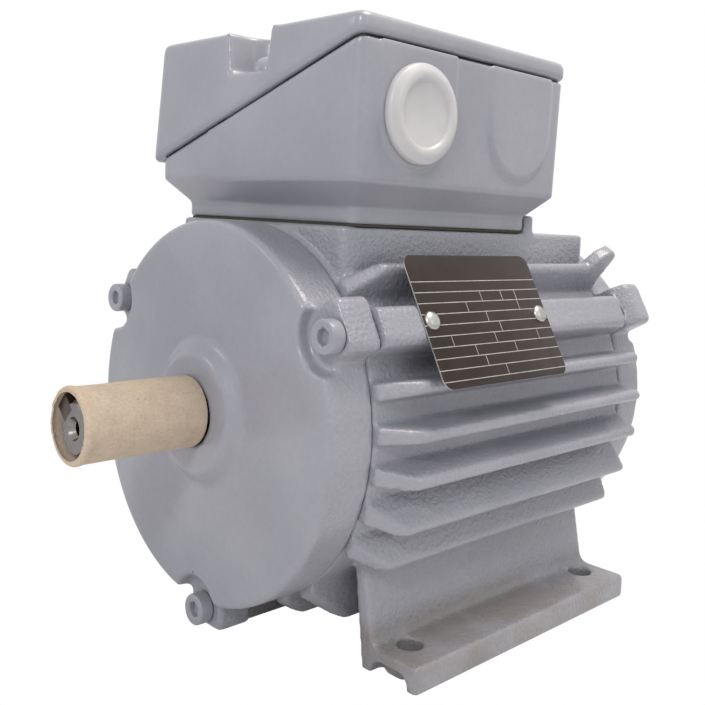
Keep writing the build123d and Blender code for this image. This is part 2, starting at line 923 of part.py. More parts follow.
def add_entry_pad(centre_y):
    """Raised pad for a cable entry, round below and straight up to the rim."""
    plane = Plane(origin=(entry_pad_face, centre_y, entry_z), x_dir=(0, 1, 0), z_dir=(1, 0, 0))
    top = lid_top_z - entry_z
    with BuildSketch(plane) as pad:
        Circle(entry_pad_r)
        with Locations((0, top / 2)):
            Rectangle(2 * entry_pad_r, top)
    extrude(pad.sketch, amount=-(entry_pad_face - box_width / 2 + box_wall / 2))


def cut_entries():
    """Open front cable entry, and the rear one left closed by a thin skin."""
    depth = 2 * box_wall
    for centre_y, skin in ((entry_front_y, 0), (entry_rear_y, knockout_skin)):
        plane = Plane(
            origin=(entry_pad_face - skin, centre_y, entry_z), x_dir=(0, 1, 0), z_dir=(1, 0, 0)
        )
        with BuildSketch(plane) as hole:
            Circle(entry_hole_d / 2)
        extrude(hole.sketch, amount=-depth, mode=Mode.SUBTRACT)


def cut_base_holes():
    """Lead passage, fixing holes and tapped holes in the terminal box base."""
    with BuildSketch(Plane((0, passage_y, box_bottom_z))) as passage:
        SlotOverall(passage_width, passage_depth)
    extrude(passage.sketch, amount=box_floor, mode=Mode.SUBTRACT)
    with Locations(*box_screw_places(box_inside_z)):
        Hole(box_screw_d / 2 + running, depth=box_floor)
    with Locations(*lid_screw_places()):
        Hole(lid_screw_d / 2 + thread_clearance, depth=lid_screw_length + lid_screw_d)
    with Locations(*board_screw_places(box_inside_z)):
        Hole(lid_screw_d / 2 + thread_clearance, depth=box_floor - fit)
    with Locations(earth_screw_place(box_inside_z)):
        Hole(lid_screw_d / 2 + thread_clearance, depth=box_floor - fit)


def box_screw_places(z):
    """Places of the four screws that hold the terminal box to its pad."""
    places = []
    for x in (-box_screw_across / 2, box_screw_across / 2):
        for y in (-box_screw_along / 2, box_screw_along / 2):
            places.append(Location((x, box_centre_y + y, z)))
    return places


def lid_screw_places():
    """Seats of the two lid screws on the floors of the lid's notches."""
    return [Location((x, y, lid_top_z - notch_height)) for x, y in lid_screw_points()]


def board_screw_places(z):
    """Places of the two screws that hold the terminal board."""
    return [Location((x, box_centre_y, z)) for x in (-board_screw_x, board_screw_x)]


def earth_screw_place(z):
    """Place of the earthing screw beside the terminal board."""
    return Location((earth_screw_x, earth_screw_y, z))


def lid_sections(inset):
    """Lower and upper sections of the lid: height, centre x, width and length."""
    low_z = split_z - tan(radians(split_angle)) * box_width / 2
    grown = box_draft + lid_overhang
    top_width = box_width + 2 * grown - 2 * inset
    top_length = box_length + 2 * grown - 2 * inset
    low_width = top_width + lid_left_lean + box_draft
    low_length = top_length + 2 * box_draft
    lower = (low_z - lid_rounding, (box_draft - lid_left_lean) / 2, low_width, low_length)
    upper = (lid_top_z - inset, 0, top_width, top_length)
    return lower, upper


def notch_plane(x, y, z):
    """Horizontal plane at a lid screw whose local y points out of the box."""
    outwards = 1 if y > box_centre_y else -1
    return Plane(origin=(x, y, z), x_dir=(outwards, 0, 0), z_dir=(0, 0, 1))


def notch_outline(wall):
    """Plan of a lid screw notch, rounded inside and open to the outside."""
    half = notch_width / 2 + wall
    mouth = lid_screw_inset + box_draft + lid_overhang
    back = mouth - notch_depth - wall
    with BuildLine() as outline:
        Polyline((-half, 0), (-half, notch_depth), (half, notch_depth), (half, 0))
        ThreePointArc((half, 0), (0, back), (-half, 0))
    make_face(outline.edges())


def build_lid_block(inset, corner):
    """Solid with the outline of the lid, its left side leaning out, less an inset."""
    with BuildPart() as block:
        for z, x, width, length in lid_sections(inset):
            with BuildSketch(level(z, x)):
                Rectangle(width, length)
        loft(ruled=True)
        fillet(upright_edges(block), corner)
    return block


def build_lid():
    """Wedge-shaped terminal box lid with a screw notch at the front and the rear."""
    floor_z = lid_top_z - notch_height
    outside = build_lid_block(0, box_corner)
    inside = build_lid_block(lid_wall, box_corner - lid_wall / 2)
    with BuildPart() as pillars:
        for x, y in lid_screw_points():
            with BuildSketch(notch_plane(x, y, split_z - notch_width)):
                notch_outline(lid_wall)
            extrude(amount=lid_top_z)
        add(outside.part, mode=Mode.INTERSECT)
    with BuildPart() as lid:
        add(outside.part)
        fillet(lid.faces().sort_by(Axis.Z)[-1].edges(), lid_rounding)
        add(inside.part, mode=Mode.SUBTRACT)
        add(pillars.part)
        for x, y in lid_screw_points():
            with BuildSketch(notch_plane(x, y, floor_z)):
                notch_outline(0)
            extrude(amount=2 * notch_height, taper=-notch_flare, mode=Mode.SUBTRACT)
        split(bisect_by=split_plane(seal_strip), keep=Keep.TOP)
        with Locations(*lid_screw_places()):
            Hole(lid_screw_d / 2 + running, depth=2 * notch_height)
    return lid


def build_lid_gasket():
    """Rubber strip in the sloping joint between the terminal box and the lid."""
    inset = box_wall / 4
    width, length = box_outline(split_z, inset)
    with BuildPart() as gasket:
        with BuildSketch(level(box_bottom_z)):
            RectangleRounded(width, length, box_corner - inset)
            shrink = box_wall - 2 * inset
            RectangleRounded(width - 2 * shrink, length - 2 * shrink, box_corner - box_wall / 2, mode=Mode.SUBTRACT)
        extrude(amount=lid_top_z - box_bottom_z)
        split(bisect_by=split_plane(0), keep=Keep.TOP)
        split(bisect_by=split_plane(seal_strip), keep=Keep.BOTTOM)
    return gasket


def build_box_gasket():
    """Flat gasket between the housing pad and the terminal box."""
    edge = box_corner / 6
    with BuildPart() as gasket:
        with BuildSketch(level(pad_top_z)):
            RectangleRounded(neck_width - 2 * edge, neck_length - 2 * edge, box_corner - edge)
            RectangleRounded(
                neck_width - 2 * box_wall - box_corner,
                neck_length - 2 * box_wall - box_corner,
                box_corner / 2,
                mode=Mode.SUBTRACT,
            )
        extrude(amount=gasket_thickness)
    return gasket


def build_pan_screw(thread_d, reach, head_d, head_height):
    """Domed head screw with its seat at the origin and its head above."""
    with BuildPart() as screw:
        Cylinder(head_d / 2, head_height, align=(Align.CENTER, Align.CENTER, Align.MIN))
        fillet(screw.edges().sort_by(Axis.Z)[-1], head_height * 0.9)
        Cylinder(thread_d / 2, reach, align=(Align.CENTER, Align.CENTER, Align.MAX))
    return screw


def build_washer_screw(thread_d, reach, head_d, head_height):
    """Plain cheese head screw with its seat at the origin and its head above."""
    with BuildPart() as screw:
        Cylinder(head_d / 2, head_height, align=(Align.CENTER, Align.CENTER, Align.MIN))
        Cylinder(thread_d / 2, reach, align=(Align.CENTER, Align.CENTER, Align.MAX))
        with BuildSketch(Plane.XY.offset(head_height)):
            Rectangle(head_d, head_d / 6)
        extrude(amount=-head_height / 2, mode=Mode.SUBTRACT)
    return screw


def stud_points():
    """Centres of the six terminal studs, two rows of three."""
    points = []
    for row in (-0.5, 0.5):
        for column in (-1, 0, 1):
            points.append((column * stud_pitch_x, box_centre_y + row * stud_pitch_y))
    return points


def build_board():
    """Moulded terminal board on two feet, with holes for its studs and screws."""
    with BuildPart() as board:
        with BuildSketch(level(box_inside_z + board_foot)):
            RectangleRounded(board_width, board_length, board_foot)
        extrude(amount=board_thickness)
        with BuildSketch(level(box_inside_z)):
            with Locations((-board_screw_x, 0), (board_screw_x, 0)):
                Rectangle(board_foot + box_screw_d, board_length - 2 * board_foot)
        extrude(amount=board_foot)
        with Locations(*board_screw_places(box_inside_z + board_foot + board_thickness)):
            Hole(lid_screw_d / 2 + running)
        top_z = box_inside_z + board_foot + board_thickness
        with Locations(*[Location((x, y, top_z)) for x, y in stud_points()]):
            Hole(stud_d / 2 + fit)
    return board


def build_studs():
    """Six brass terminal studs standing in the board."""
    with BuildPart() as studs:
        with BuildSketch(Plane.XY.offset(box_inside_z + board_foot)):
            with Locations(*stud_points()):
                Circle(stud_d / 2)
        extrude(amount=board_thickness + stud_height)
    return studs


def build_nuts():
    """One hexagon nut on each terminal stud, above the link or the cable lug."""
    seat_z = box_inside_z + board_foot + board_thickness + cable_lug_thickness + link_thickness
    with BuildPart() as nuts:
        with BuildSketch(Plane.XY.offset(seat_z)):
            with Locations(*stud_points()):
                RegularPolygon(stud_nut_d / 2, 6)
                Circle(stud_d / 2 + fit, mode=Mode.SUBTRACT)
        extrude(amount=stud_nut_height)
    return nuts


def build_links():
    """Three brass links that join the studs in pairs, front to rear."""
    seat_z = box_inside_z + board_foot + board_thickness + cable_lug_thickness
    with BuildPart() as links:
        with BuildSketch(level(seat_z)):
            for column in (-1, 0, 1):
                with Locations((column * stud_pitch_x, 0)):
                    RectangleRounded(link_width, stud_pitch_y + link_width, link_width / 4)
                for row in (-0.5, 0.5):
                    with Locations((column * stud_pitch_x, row * stud_pitch_y)):
                        Circle(stud_d / 2 + fit, mode=Mode.SUBTRACT)
        extrude(amount=link_thickness)
    return links


def lead_ends():
    """Stud centre and lead end of each of the six winding leads."""
    ends = []
    for x, y in stud_points():
        if y < box_centre_y:
            ends.append(((x, y), (x, y - lug_reach)))
        else:
            side = -1 if x > -stud_pitch_x / 2 else 1
            ends.append(((x, y), (x + side * lug_reach, y)))
    return ends


def build_cable_lugs():
    """Ring lugs of the winding leads, one under each link end, with a tongue for the lead."""
    seat_z = box_inside_z + board_foot + board_thickness
    with BuildPart() as lugs:
        with BuildSketch(Plane.XY.offset(seat_z)):
            for (x, y), (end_x, end_y) in lead_ends():
                with Locations((x, y)):
                    Circle(cable_lug_d / 2)
                with Locations(((x + end_x) / 2, (y + end_y) / 2)):
                    Rectangle(abs(end_x - x) + lead_d, abs(end_y - y) + lead_d)
            with Locations(*stud_points()):
                Circle(stud_d / 2 + fit, mode=Mode.SUBTRACT)
        extrude(amount=cable_lug_thickness)
    return lugs


def build_leads():
    """Six winding leads that rise through the passage and end on the cable lugs."""
    lead_z = box_inside_z + board_foot + board_thickness + cable_lug_thickness + lead_d / 2
    start_z = shaft_height + end_turn_outer_r
    bend_y = box_centre_y - board_length / 2 - lead_d
    with BuildPart() as leads:
        for stud, (end_x, end_y) in lead_ends():
            start_x = end_x * lead_gather
            with BuildLine(mode=Mode.PRIVATE) as path:
                Polyline(
                    (start_x, passage_y, start_z),
                    (start_x, passage_y, lead_z - 2 * lead_d),
                    (end_x, bend_y, lead_z),
                    (end_x, end_y, lead_z),
                )
            with BuildSketch(Plane((start_x, passage_y, start_z))) as section:
                Circle(lead_d / 2)
            sweep(section.sketch, path=path.line, transition=Transition.RIGHT)
    return leads


def build_earth_clamp():
    """Square earthing clamp plate under the earthing screw."""
    with BuildPart() as clamp:
        with BuildSketch(Plane((earth_screw_x, earth_screw_y, box_inside_z))):
            Rectangle(earth_clamp_size, earth_clamp_size)
            Circle(lid_screw_d / 2 + fit, mode=Mode.SUBTRACT)
        extrude(amount=earth_clamp_thickness)
    return clamp


def build_entry_plug():
    """Plastic plug with a stepped flange and a hollow body in the front cable entry."""
    seat_x = entry_pad_face + fit
    with BuildPart() as plug:
        plane = Plane(origin=(seat_x, entry_front_y, entry_z), x_dir=(0, 1, 0), z_dir=(1, 0, 0))
        with BuildSketch(plane):
            Circle(plug_flange_d / 2)
        extrude(amount=plug_flange_thickness - plug_step)
        with BuildSketch(plane.offset(plug_flange_thickness - plug_step)):
            Circle(plug_flange_d / 2 - plug_step)
        extrude(amount=plug_step)
        with BuildSketch(plane.offset(plug_flange_thickness)):
            Circle(plug_recess_d / 2)
        extrude(amount=-plug_recess_depth, mode=Mode.SUBTRACT)
        with BuildSketch(plane):
            Circle(plug_body_d / 2)
            Circle(plug_body_d / 2 - plug_wall, mode=Mode.SUBTRACT)
        extrude(amount=-plug_body_length)
    return plug


def plate_plane(distance):
    """Plane of the rating plate on the right-hand bar, at a distance from the shaft axis."""
    normal = polar(1, side_screw_angle)
    middle_y = plate_front_y + plate_width / 2
    origin = (distance * normal.X, middle_y, shaft_height + distance * normal.Y)
    return Plane(origin=origin, x_dir=(0, 1, 0), z_dir=(normal.X, 0, normal.Y))


def rivet_places():
    """Places of the two rivets that hold the rating plate, on the bar's face."""
    plane = plate_plane(bar_face)
    return [(plane * Location((x, 0, 0))) for x in (-rivet_spacing / 2, rivet_spacing / 2)]


def build_plate():
    """Rating plate, flat on the bar."""
    with BuildPart() as plate:
        with BuildSketch(plate_plane(bar_face)):
            RectangleRounded(plate_width, plate_height, plate_corner)
            with Locations((-rivet_spacing / 2, 0), (rivet_spacing / 2, 0)):
                Circle(rivet_shank_d / 2 + fit, mode=Mode.SUBTRACT)
        extrude(amount=plate_thickness)
    return plate


def build_rivets():
    """Two domed rivets that hold the rating plate."""
    rivet = build_pan_screw(
        rivet_shank_d, rivet_shank_length + plate_thickness, rivet_head_d, rivet_head_height
    )
    lift = Location((0, 0, plate_thickness))
    return grouped(rivet, [place * lift for place in rivet_places()])


def build_sleeve():
    """Cardboard sleeve over the shaft end, resting to one side against the key."""
    offset = polar(sleeve_offset, key_angle)
    rear = boss_face_y - running
    with BuildPart() as sleeve:
        with BuildSketch(station(rear)):
            with Locations((offset.X, offset.Y)):
                Circle(sleeve_inner_d / 2 + sleeve_wall)
                Circle(sleeve_inner_d / 2, mode=Mode.SUBTRACT)
        extrude(amount=rear - shaft_end_y + sleeve_overhang)
    return sleeve


os.makedirs("parts", exist_ok=True)

save(build_housing(), "stator_housing")
save(build_front_shield(), "drive_end_shield")
save(build_rear_shield(), "rear_end_shield")
cap_screw = build_cap_screw()
save(grouped(cap_screw, shield_screw_places(lug_front_y, -1)), "drive_end_screws")
save(grouped(cap_screw, shield_screw_places(lug_rear_y, 1)), "rear_end_screws")

save(build_stator_core(), "stator_core")
save(build_slot_coils(), "slot_coils")
save(build_end_turns(core_front_y - end_turn_length, core_front_y), "front_end_turns")
save(build_end_turns(core_rear_y, core_rear_y + end_turn_length), "rear_end_turns")

save(build_shaft(), "shaft")
save(build_key(), "shaft_key")
save(build_rotor_core(), "rotor_core")
save(build_rotor_cage(), "rotor_cage")
for side, bearing_y in (("drive", front_bearing_y), ("rear", rear_bearing_y)):
    outer_ring, inner_ring, closures, ball_cage = build_bearing(bearing_y)
    save(outer_ring, f"{side}_bearing_outer_ring")
    save(inner_ring, f"{side}_bearing_inner_ring")
    save(closures, f"{side}_bearing_closures")
    save(ball_cage, f"{side}_bearing_ball_cage")
save(build_seal(), "shaft_seal")
save(build_wave_spring(), "wave_spring")

save(build_box_base(), "terminal_box_base")
save(build_lid(), "terminal_box_lid")
save(build_lid_gasket(), "lid_gasket")
save(build_box_gasket(), "box_gasket")
lid_screw = build_pan_screw(lid_screw_d, lid_screw_length, lid_screw_head_d, lid_screw_head_height)
save(grouped(lid_screw, lid_screw_places()), "lid_screws")
box_screw = build_washer_screw(
    box_screw_d, box_floor + gasket_thickness + box_screw_reach - fit, box_screw_head_d, box_screw_head_height
)
save(grouped(box_screw, box_screw_places(box_inside_z)), "box_screws")

save(build_board(), "terminal_board")
save(build_studs(), "terminal_studs")
save(build_nuts(), "terminal_nuts")
save(build_links(), "terminal_links")
save(build_cable_lugs(), "cable_lugs")
save(build_leads(), "winding_leads")
board_top_z = box_inside_z + board_foot + board_thickness
board_screw = build_washer_screw(
    lid_screw_d, board_foot + board_thickness + box_floor / 2, board_screw_head_d, box_screw_head_height
)
save(grouped(board_screw, board_screw_places(board_top_z)), "board_screws")
save(build_earth_clamp(), "earth_clamp")
earth_screw = build_washer_screw(
    lid_screw_d, earth_clamp_thickness + box_floor / 2, box_screw_head_d, box_screw_head_height
)
earth_place = earth_screw_place(box_inside_z + earth_clamp_thickness)
save(grouped(earth_screw, [earth_place]), "earth_screw")

save(build_plate(), "rating_plate")
save(build_rivets(), "plate_rivets")
save(build_entry_plug(), "entry_plug")
save(build_sleeve(), "shaft_sleeve")
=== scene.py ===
"""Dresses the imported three-phase motor: castings, terminal box, plate, plug, sleeve and stage."""

from math import cos, exp, pi, radians, sin

import bmesh
import bpy
from bpy.props import FloatProperty, FloatVectorProperty, IntProperty, PointerProperty
from mathutils import Euler, Matrix, Vector, noise


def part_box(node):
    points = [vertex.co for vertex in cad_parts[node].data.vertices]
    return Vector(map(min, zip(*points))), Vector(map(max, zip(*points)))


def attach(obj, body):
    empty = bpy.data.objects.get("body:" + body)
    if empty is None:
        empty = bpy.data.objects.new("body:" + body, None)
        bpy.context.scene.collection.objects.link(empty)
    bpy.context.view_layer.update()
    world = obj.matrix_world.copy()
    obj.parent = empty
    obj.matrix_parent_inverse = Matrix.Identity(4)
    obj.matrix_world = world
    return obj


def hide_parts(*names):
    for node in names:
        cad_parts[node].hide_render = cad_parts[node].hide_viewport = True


bl_info = {
    "name": "Three-phase motor dressing",
    "version": (1, 0, 0),
    "blender": (4, 5, 0),
    "location": "View3D > Sidebar > Motor",
    "description": "Models the castings, plate, plug, sleeve and studio of a foot-mounted motor",
    "category": "Object",
}

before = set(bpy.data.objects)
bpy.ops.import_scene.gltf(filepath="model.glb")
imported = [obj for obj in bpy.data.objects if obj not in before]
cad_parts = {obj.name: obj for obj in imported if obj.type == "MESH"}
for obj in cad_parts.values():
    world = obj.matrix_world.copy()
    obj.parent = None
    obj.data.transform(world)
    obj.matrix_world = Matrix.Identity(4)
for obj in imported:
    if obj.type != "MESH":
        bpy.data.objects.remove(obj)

MM = 0.001
AXIS_Z = 63 * MM

# Points closer than this are one point, and edges that turn by less than this look smooth
MERGED_WITHIN = 0.002 * MM
SMOOTH_ANGLE = radians(38)

# End shield screws: where they sit round the shaft, and their sizes
SHIELD_SCREW_ANGLES = (28.8, 151.2, 270.0)
SHIELD_SCREW_CIRCLE = 55 * MM
SCREW_HEAD_RADIUS = 4.25 * MM
SCREW_HEAD_HEIGHT = 4.0 * MM
SCREW_SHANK_RADIUS = 2.5 * MM
SOCKET_FLATS = 4.0 * MM
SOCKET_DEPTH = 2.2 * MM

# An end shield is smooth within this radius and rough cast outside
CAP_SMOOTH_RADIUS = 50 * MM

PLATE_HEIGHT = 36.6 * MM
PLATE_THICKNESS = 0.5 * MM
PLATE_CORNER = 3 * MM
RIVET_OFFSET = 23 * MM

SLEEVE_WALL = 1.05 * MM
PLUG_SKIRT_LENGTH = 8 * MM

# The plate's printed table in millimetres from its middle: the first rule, the row pitch, the
# number of rows, and each upright rule's row and place
PLATE_FIRST_RULE = 10.7
PLATE_ROW = 3.0
PLATE_ROWS = 9
PLATE_UPRIGHTS = (
    (1, -0.4), (1, 8.55), (1, 14.9), (2, -7.6), (2, 14.7), (3, -0.65), (4, 3.6),
    (5, -17.85), (5, -0.2), (5, 18.85), (6, -9.75), (6, 7.05), (7, -7.0), (8, 0.0),
)

FLOOR_WIDTH = 6.0

# Name, place and side in metres, power in watts and colour of each lamp, and what they all face
LAMPS = (
    ("overhead_lamp", (0.15, 0.10, 0.62), 0.24, 2.4, (1.0, 0.93, 0.84)),
    ("drive_end_lamp", (-0.35, -0.60, 0.42), 0.20, 0.40, (0.92, 0.96, 1.0)),
    ("right_lamp", (0.70, 0.10, 0.40), 0.20, 0.20, (0.92, 0.96, 1.0)),
    ("camera_side_lamp", (0.30, -0.58, 0.46), 0.11, 1.35, (1.0, 1.0, 1.0)),
)
LAMP_TARGET = (0.0, 0.0, 0.08)

# Azimuth, elevation and roll in degrees, place in metres, shift of the frame, sensor in millimetres
CAMERA_ANGLES = (44.96, 3.66, 2.8)
CAMERA_PLACE = (0.20464, -0.21202, 0.11721)
CAMERA_SHIFT = (-0.041, -0.1059)
SENSOR_WIDTH = 36


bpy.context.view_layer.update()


class MotorFinishes(bpy.types.PropertyGroup):
    """Colours and surface depths that a user may want to change."""

    enamel: FloatVectorProperty(
        name="Enamel", description="Blue-grey paint of the castings", subtype="COLOR",
        default=(0.315, 0.317, 0.352), min=0, max=1,
    )
    enamel_shade: FloatVectorProperty(
        name="Enamel shade", description="Darker tone of the same paint", subtype="COLOR",
        default=(0.270, 0.273, 0.308), min=0, max=1,
    )
    cardboard: FloatVectorProperty(
        name="Cardboard", description="Shaft sleeve board", subtype="COLOR",
        default=(0.56, 0.455, 0.345), min=0, max=1,
    )
    plate: FloatVectorProperty(
        name="Rating plate", description="Printed ground of the rating plate", subtype="COLOR",
        default=(0.032, 0.023, 0.020), min=0, max=1,
    )
    plug: FloatVectorProperty(
        name="Entry plug", description="Natural plastic of the cable entry plug", subtype="COLOR",
        default=(0.55, 0.54, 0.54), min=0, max=1,
    )
    cast_grain: FloatProperty(
        name="Cast grain", description="Depth of the sand-cast skin under the paint",
        subtype="DISTANCE", default=0.22 * MM, min=0, max=MM,
    )
    box_grain: FloatProperty(
        name="Box grain", description="Depth of the orange peel on the terminal box",
        subtype="DISTANCE", default=0.03 * MM, min=0, max=MM,
    )


class MotorModelling(bpy.types.PropertyGroup):
    """Sizes that decide how soft and how fine the modelled pieces are."""

    casting_voxel: FloatProperty(
        name="Casting voxel", description="Voxel that rounds the sand castings",
        subtype="DISTANCE", default=0.62 * MM, min=0.3 * MM, max=3 * MM,
    )
    box_voxel: FloatProperty(
        name="Box voxel", description="Voxel that rounds the terminal box",
        subtype="DISTANCE", default=0.50 * MM, min=0.3 * MM, max=3 * MM,
    )
    softening: IntProperty(
        name="Softening", description="Smoothing passes over a casting",
        default=10, min=0, max=30,
    )
    cap_softening: IntProperty(
        name="Cap softening", description="Smoothing passes over an end shield",
        default=22, min=0, max=40,
    )
    lid_softening: IntProperty(
        name="Lid softening", description="Smoothing passes over the lid",
        default=38, min=0, max=60,
    )
    lid_trim: FloatProperty(
        name="Lid trim", description="Width and depth of the lid against its CAD solid",
        default=0.978, min=0.95, max=1,
    )
    share_kept: FloatProperty(
        name="Share kept", description="Share of a casting's triangles that stays",
        subtype="FACTOR", default=0.25, min=0.05, max=1,
    )


class MotorStudio(bpy.types.PropertyGroup):
    """Camera, lamps and floor."""

    lens: FloatProperty(
        name="Lens", description="Focal length on a 36 mm sensor", subtype="DISTANCE_CAMERA",
        default=46.31, min=10, max=200,
    )
    floor: FloatVectorProperty(
        name="Floor", description="Colour of the floor and backdrop", subtype="COLOR",
        default=(0.90, 0.90, 0.90), min=0, max=1,
    )
    sky: FloatVectorProperty(
        name="Sky", description="Strength of the even light from all round, by colour", size=3,
        default=(0.54, 0.54, 0.57), min=0, max=5,
    )


class Wire:
    """A node's output, whose arithmetic adds Math nodes to its material."""

    def __init__(self, finish, socket):
        self.finish = finish
        self.socket = socket

    def math(self, operation, first, second=0.0):
        """Adds one Math node."""
        return self.finish.add("ShaderNodeMath", {"operation": operation}, {0: first, 1: second})

    def root(self):
        """Square root."""
        return self.math("SQRT", self)

    def __add__(self, other):
        return self.math("ADD", self, other)

    def __sub__(self, other):
        return self.math("SUBTRACT", self, other)

    def __mul__(self, other):
        return self.math("MULTIPLY", self, other)

    def __truediv__(self, other):
        return self.math("DIVIDE", self, other)

    def __rsub__(self, other):
        return self.math("SUBTRACT", other, self)

    def __abs__(self):
        return self.math("ABSOLUTE", self)

    def upper(self, other):
        """The larger of two values."""
        return self.math("MAXIMUM", self, other)

    def wrapped(self, period):
        """The value within one period, from 0 up to the period."""
        return self.math("FLOORED_MODULO", self, period)

    def ramp(self, low, high, first=0.0, last=1.0):
        """Runs from first to last as the value goes from low to high, and stays there outside."""
        return self.finish.add(
            "ShaderNodeMapRange", {"clamp": True},
            {"Value": self, "From Min": low, "From Max": high, "To Min": first, "To Max": last},
        )


class Finish:
    """A node material on the Principled shader."""

    def __init__(self, name, **plain):
        self.material = bpy.data.materials.new(name)
        self.material.use_nodes = True
        self.nodes = self.material.node_tree.nodes
        self.links = self.material.node_tree.links
        self.shader = self.nodes["Principled BSDF"]
        for socket, value in plain.items():
            self.put(socket.replace("_", " "), value)

    def put(self, socket, value):
        """Sets or links one socket of the shader."""
        self.plug(self.shader.inputs[socket], value)

    def plug(self, socket, value):
        """Sets or links one socket."""
        if isinstance(value, Wire):
            self.links.new(value.socket, socket)
        elif hasattr(value, "__len__") and socket.type == "RGBA":
            socket.default_value = (*value[:3], 1)
        else:
            socket.default_value = value

    def add(self, kind, settings, inputs, output=0):
        """Adds a node with its settings, then its socket values or links, and gives one output."""
        node = self.nodes.new(kind)
        for key, value in settings.items():
            setattr(node, key, value)
        for key, value in inputs.items():
            self.plug(node.inputs[key], value)
        return Wire(self, node.outputs[output])

    def place(self):
        """Object coordinates."""
        return self.add("ShaderNodeTexCoord", {}, {}, "Object")

    def axes(self):
        """The three object coordinates as separate values."""
        place = self.place()
        return [self.add("ShaderNodeSeparateXYZ", {}, {0: place}, axis) for axis in "XYZ"]

    def along(self, direction):
        """Distance of a point along a direction."""
        return self.add(
            "ShaderNodeVectorMath", {"operation": "DOT_PRODUCT"},
            {0: self.place(), 1: direction}, "Value",
        )

    def stretched(self, scale):
        """Object coordinates with another scale on each axis."""
        return self.add("ShaderNodeMapping", {}, {"Vector": self.place(), "Scale": scale})

    def noise(self, size, detail=3.0, rough=0.5, place=None):
        """Noise whose features are about size across, in metres."""
        inputs = {"Scale": 1 / size, "Detail": detail, "Roughness": rough}
        return self.add("ShaderNodeTexNoise", {}, {"Vector": place or self.place(), **inputs})

    def cells(self, size):
        """Distance to the nearest of points about size metres apart, as a share of size."""
        inputs = {"Vector": self.place(), "Scale": 1 / size}
        return self.add("ShaderNodeTexVoronoi", {}, inputs, "Distance")

    def mixed(self, share, first, second):
        """Two colours mixed by a share."""
        node = self.nodes.new("ShaderNodeMix")
        node.data_type = "RGBA"
        self.plug(node.inputs["Factor"], share)
        colours = [socket for socket in node.inputs if socket.type == "RGBA"]
        self.plug(colours[0], first)
        self.plug(colours[1], second)
        return Wire(self, next(socket for socket in node.outputs if socket.type == "RGBA"))

    def relief(self, height, depth):
        """Bump of a height from 0 to 1 with a depth in metres."""
        inputs = {"Height": height, "Distance": depth, "Strength": 1.0}
        self.put("Normal", self.add("ShaderNodeBump", {}, inputs))


def finishes():
    """The settings of the colours and depths."""
    return bpy.context.scene.motor_finishes


def modelling():
    """The settings of the modelled pieces."""
    return bpy.context.scene.motor_modelling


def studio():
    """The settings of the stage."""
    return bpy.context.scene.motor_studio


def enamel(name, grain, pits, smooth_within=None, dusty=0.0):
    """Satin enamel over a cast skin, with small pits, a faint change of tone, and painted light and
    shade on the grain: its raised points coloured lighter and its hollows darker.

    A cap is smoother within a radius of the axis, and the feet are dusty on top.
    """
    bare_chip, brown_dust = (0.09, 0.09, 0.09), (0.205, 0.175, 0.150)
    finish = Finish(name, Coat_Weight=0.5, Coat_Roughness=0.16, Specular_IOR_Level=0.5)
    rough = finish.noise(1.1 * MM, 2, 0.55).ramp(0.32, 0.68)
    if smooth_within:
        x, _, z = finish.axes()
        radius = (x * x + (z - AXIS_Z) * (z - AXIS_Z)).root()
        rough = rough * radius.ramp(smooth_within, smooth_within + 3 * MM, 0.25, 1.0)
    share = grain / finishes().cast_grain
    tone = finish.noise(34 * MM, 2).ramp(0.35, 0.65)
    # Painted light and shade: besides a random freckle, the colour follows the grain's relief
    # height, lighter on raised points and darker in hollows
    freckle_and_painted_grain_shade = finish.noise(2.1 * MM, 2).ramp(0.30, 0.70, -0.15, 0.15) + (rough - 0.5) * 0.4 * share
    colour = finish.mixed((tone + freckle_and_painted_grain_shade).ramp(0, 1), finishes().enamel_shade, finishes().enamel)
    spots = finish.cells(9 * MM).ramp(0.045, 0.075, 1.0, 0.0)
    chip = spots * finish.noise(21 * MM).ramp(0.60, 0.64)
    colour = finish.mixed(chip * pits, colour, bare_chip)
    if dusty:
        foot_top = finish.axes()[2].ramp(9 * MM, 14 * MM, dusty, 0.0)
        dust = foot_top * finish.noise(16 * MM, 3).ramp(0.30, 0.60)
        colour = finish.mixed(dust, colour, brown_dust)
    finish.put("Base Color", colour)
    finish.put("Roughness", finish.noise(6 * MM).ramp(0.3, 0.7, 0.34, 0.46))
    finish.relief(rough * 0.8 + finish.noise(8 * MM, 2) * 0.8 - chip * pits, grain)
    return finish.material


def bare_metal(name, colour, rough, lines=None):
    """Bare metal, with turning or rolling lines across one axis where it has them."""
    depth, spacing, stretch = 0.01 * MM, 0.25 * MM, 60.0
    finish = Finish(name, Metallic=1.0)
    cloud = finish.noise(5 * MM, 4).ramp(0.35, 0.7)
    finish.put("Base Color", finish.mixed(cloud, colour, [0.78 * part for part in colour]))
    finish.put("Roughness", finish.noise(1.5 * MM, 3).ramp(0.3, 0.7, rough, rough + 0.14))
    if lines is None:
        finish.relief(finish.noise(0.7 * MM, 3), depth)
    else:
        scale = [1.0, 1.0, 1.0]
        scale[lines] = stretch
        finish.relief(finish.noise(stretch * spacing, 2, place=finish.stretched(scale)), depth)
    return finish.material


def laminated(name, colour):
    """Edges of stacked sheets, one line every half millimetre along the shaft."""
    finish = Finish(name, Metallic=0.85)
    sheet = 0.5 * MM
    layer = finish.axes()[1].wrapped(sheet) / sheet
    joint = abs(layer - 0.5).ramp(0.38, 0.48)
    finish.put("Base Color", finish.mixed(joint, colour, [0.35 * part for part in colour]))
    finish.put("Roughness", finish.noise(3 * MM, 3).ramp(0.3, 0.7, 0.4, 0.6))
    finish.relief(1 - joint, 0.05 * MM)
    return finish.material


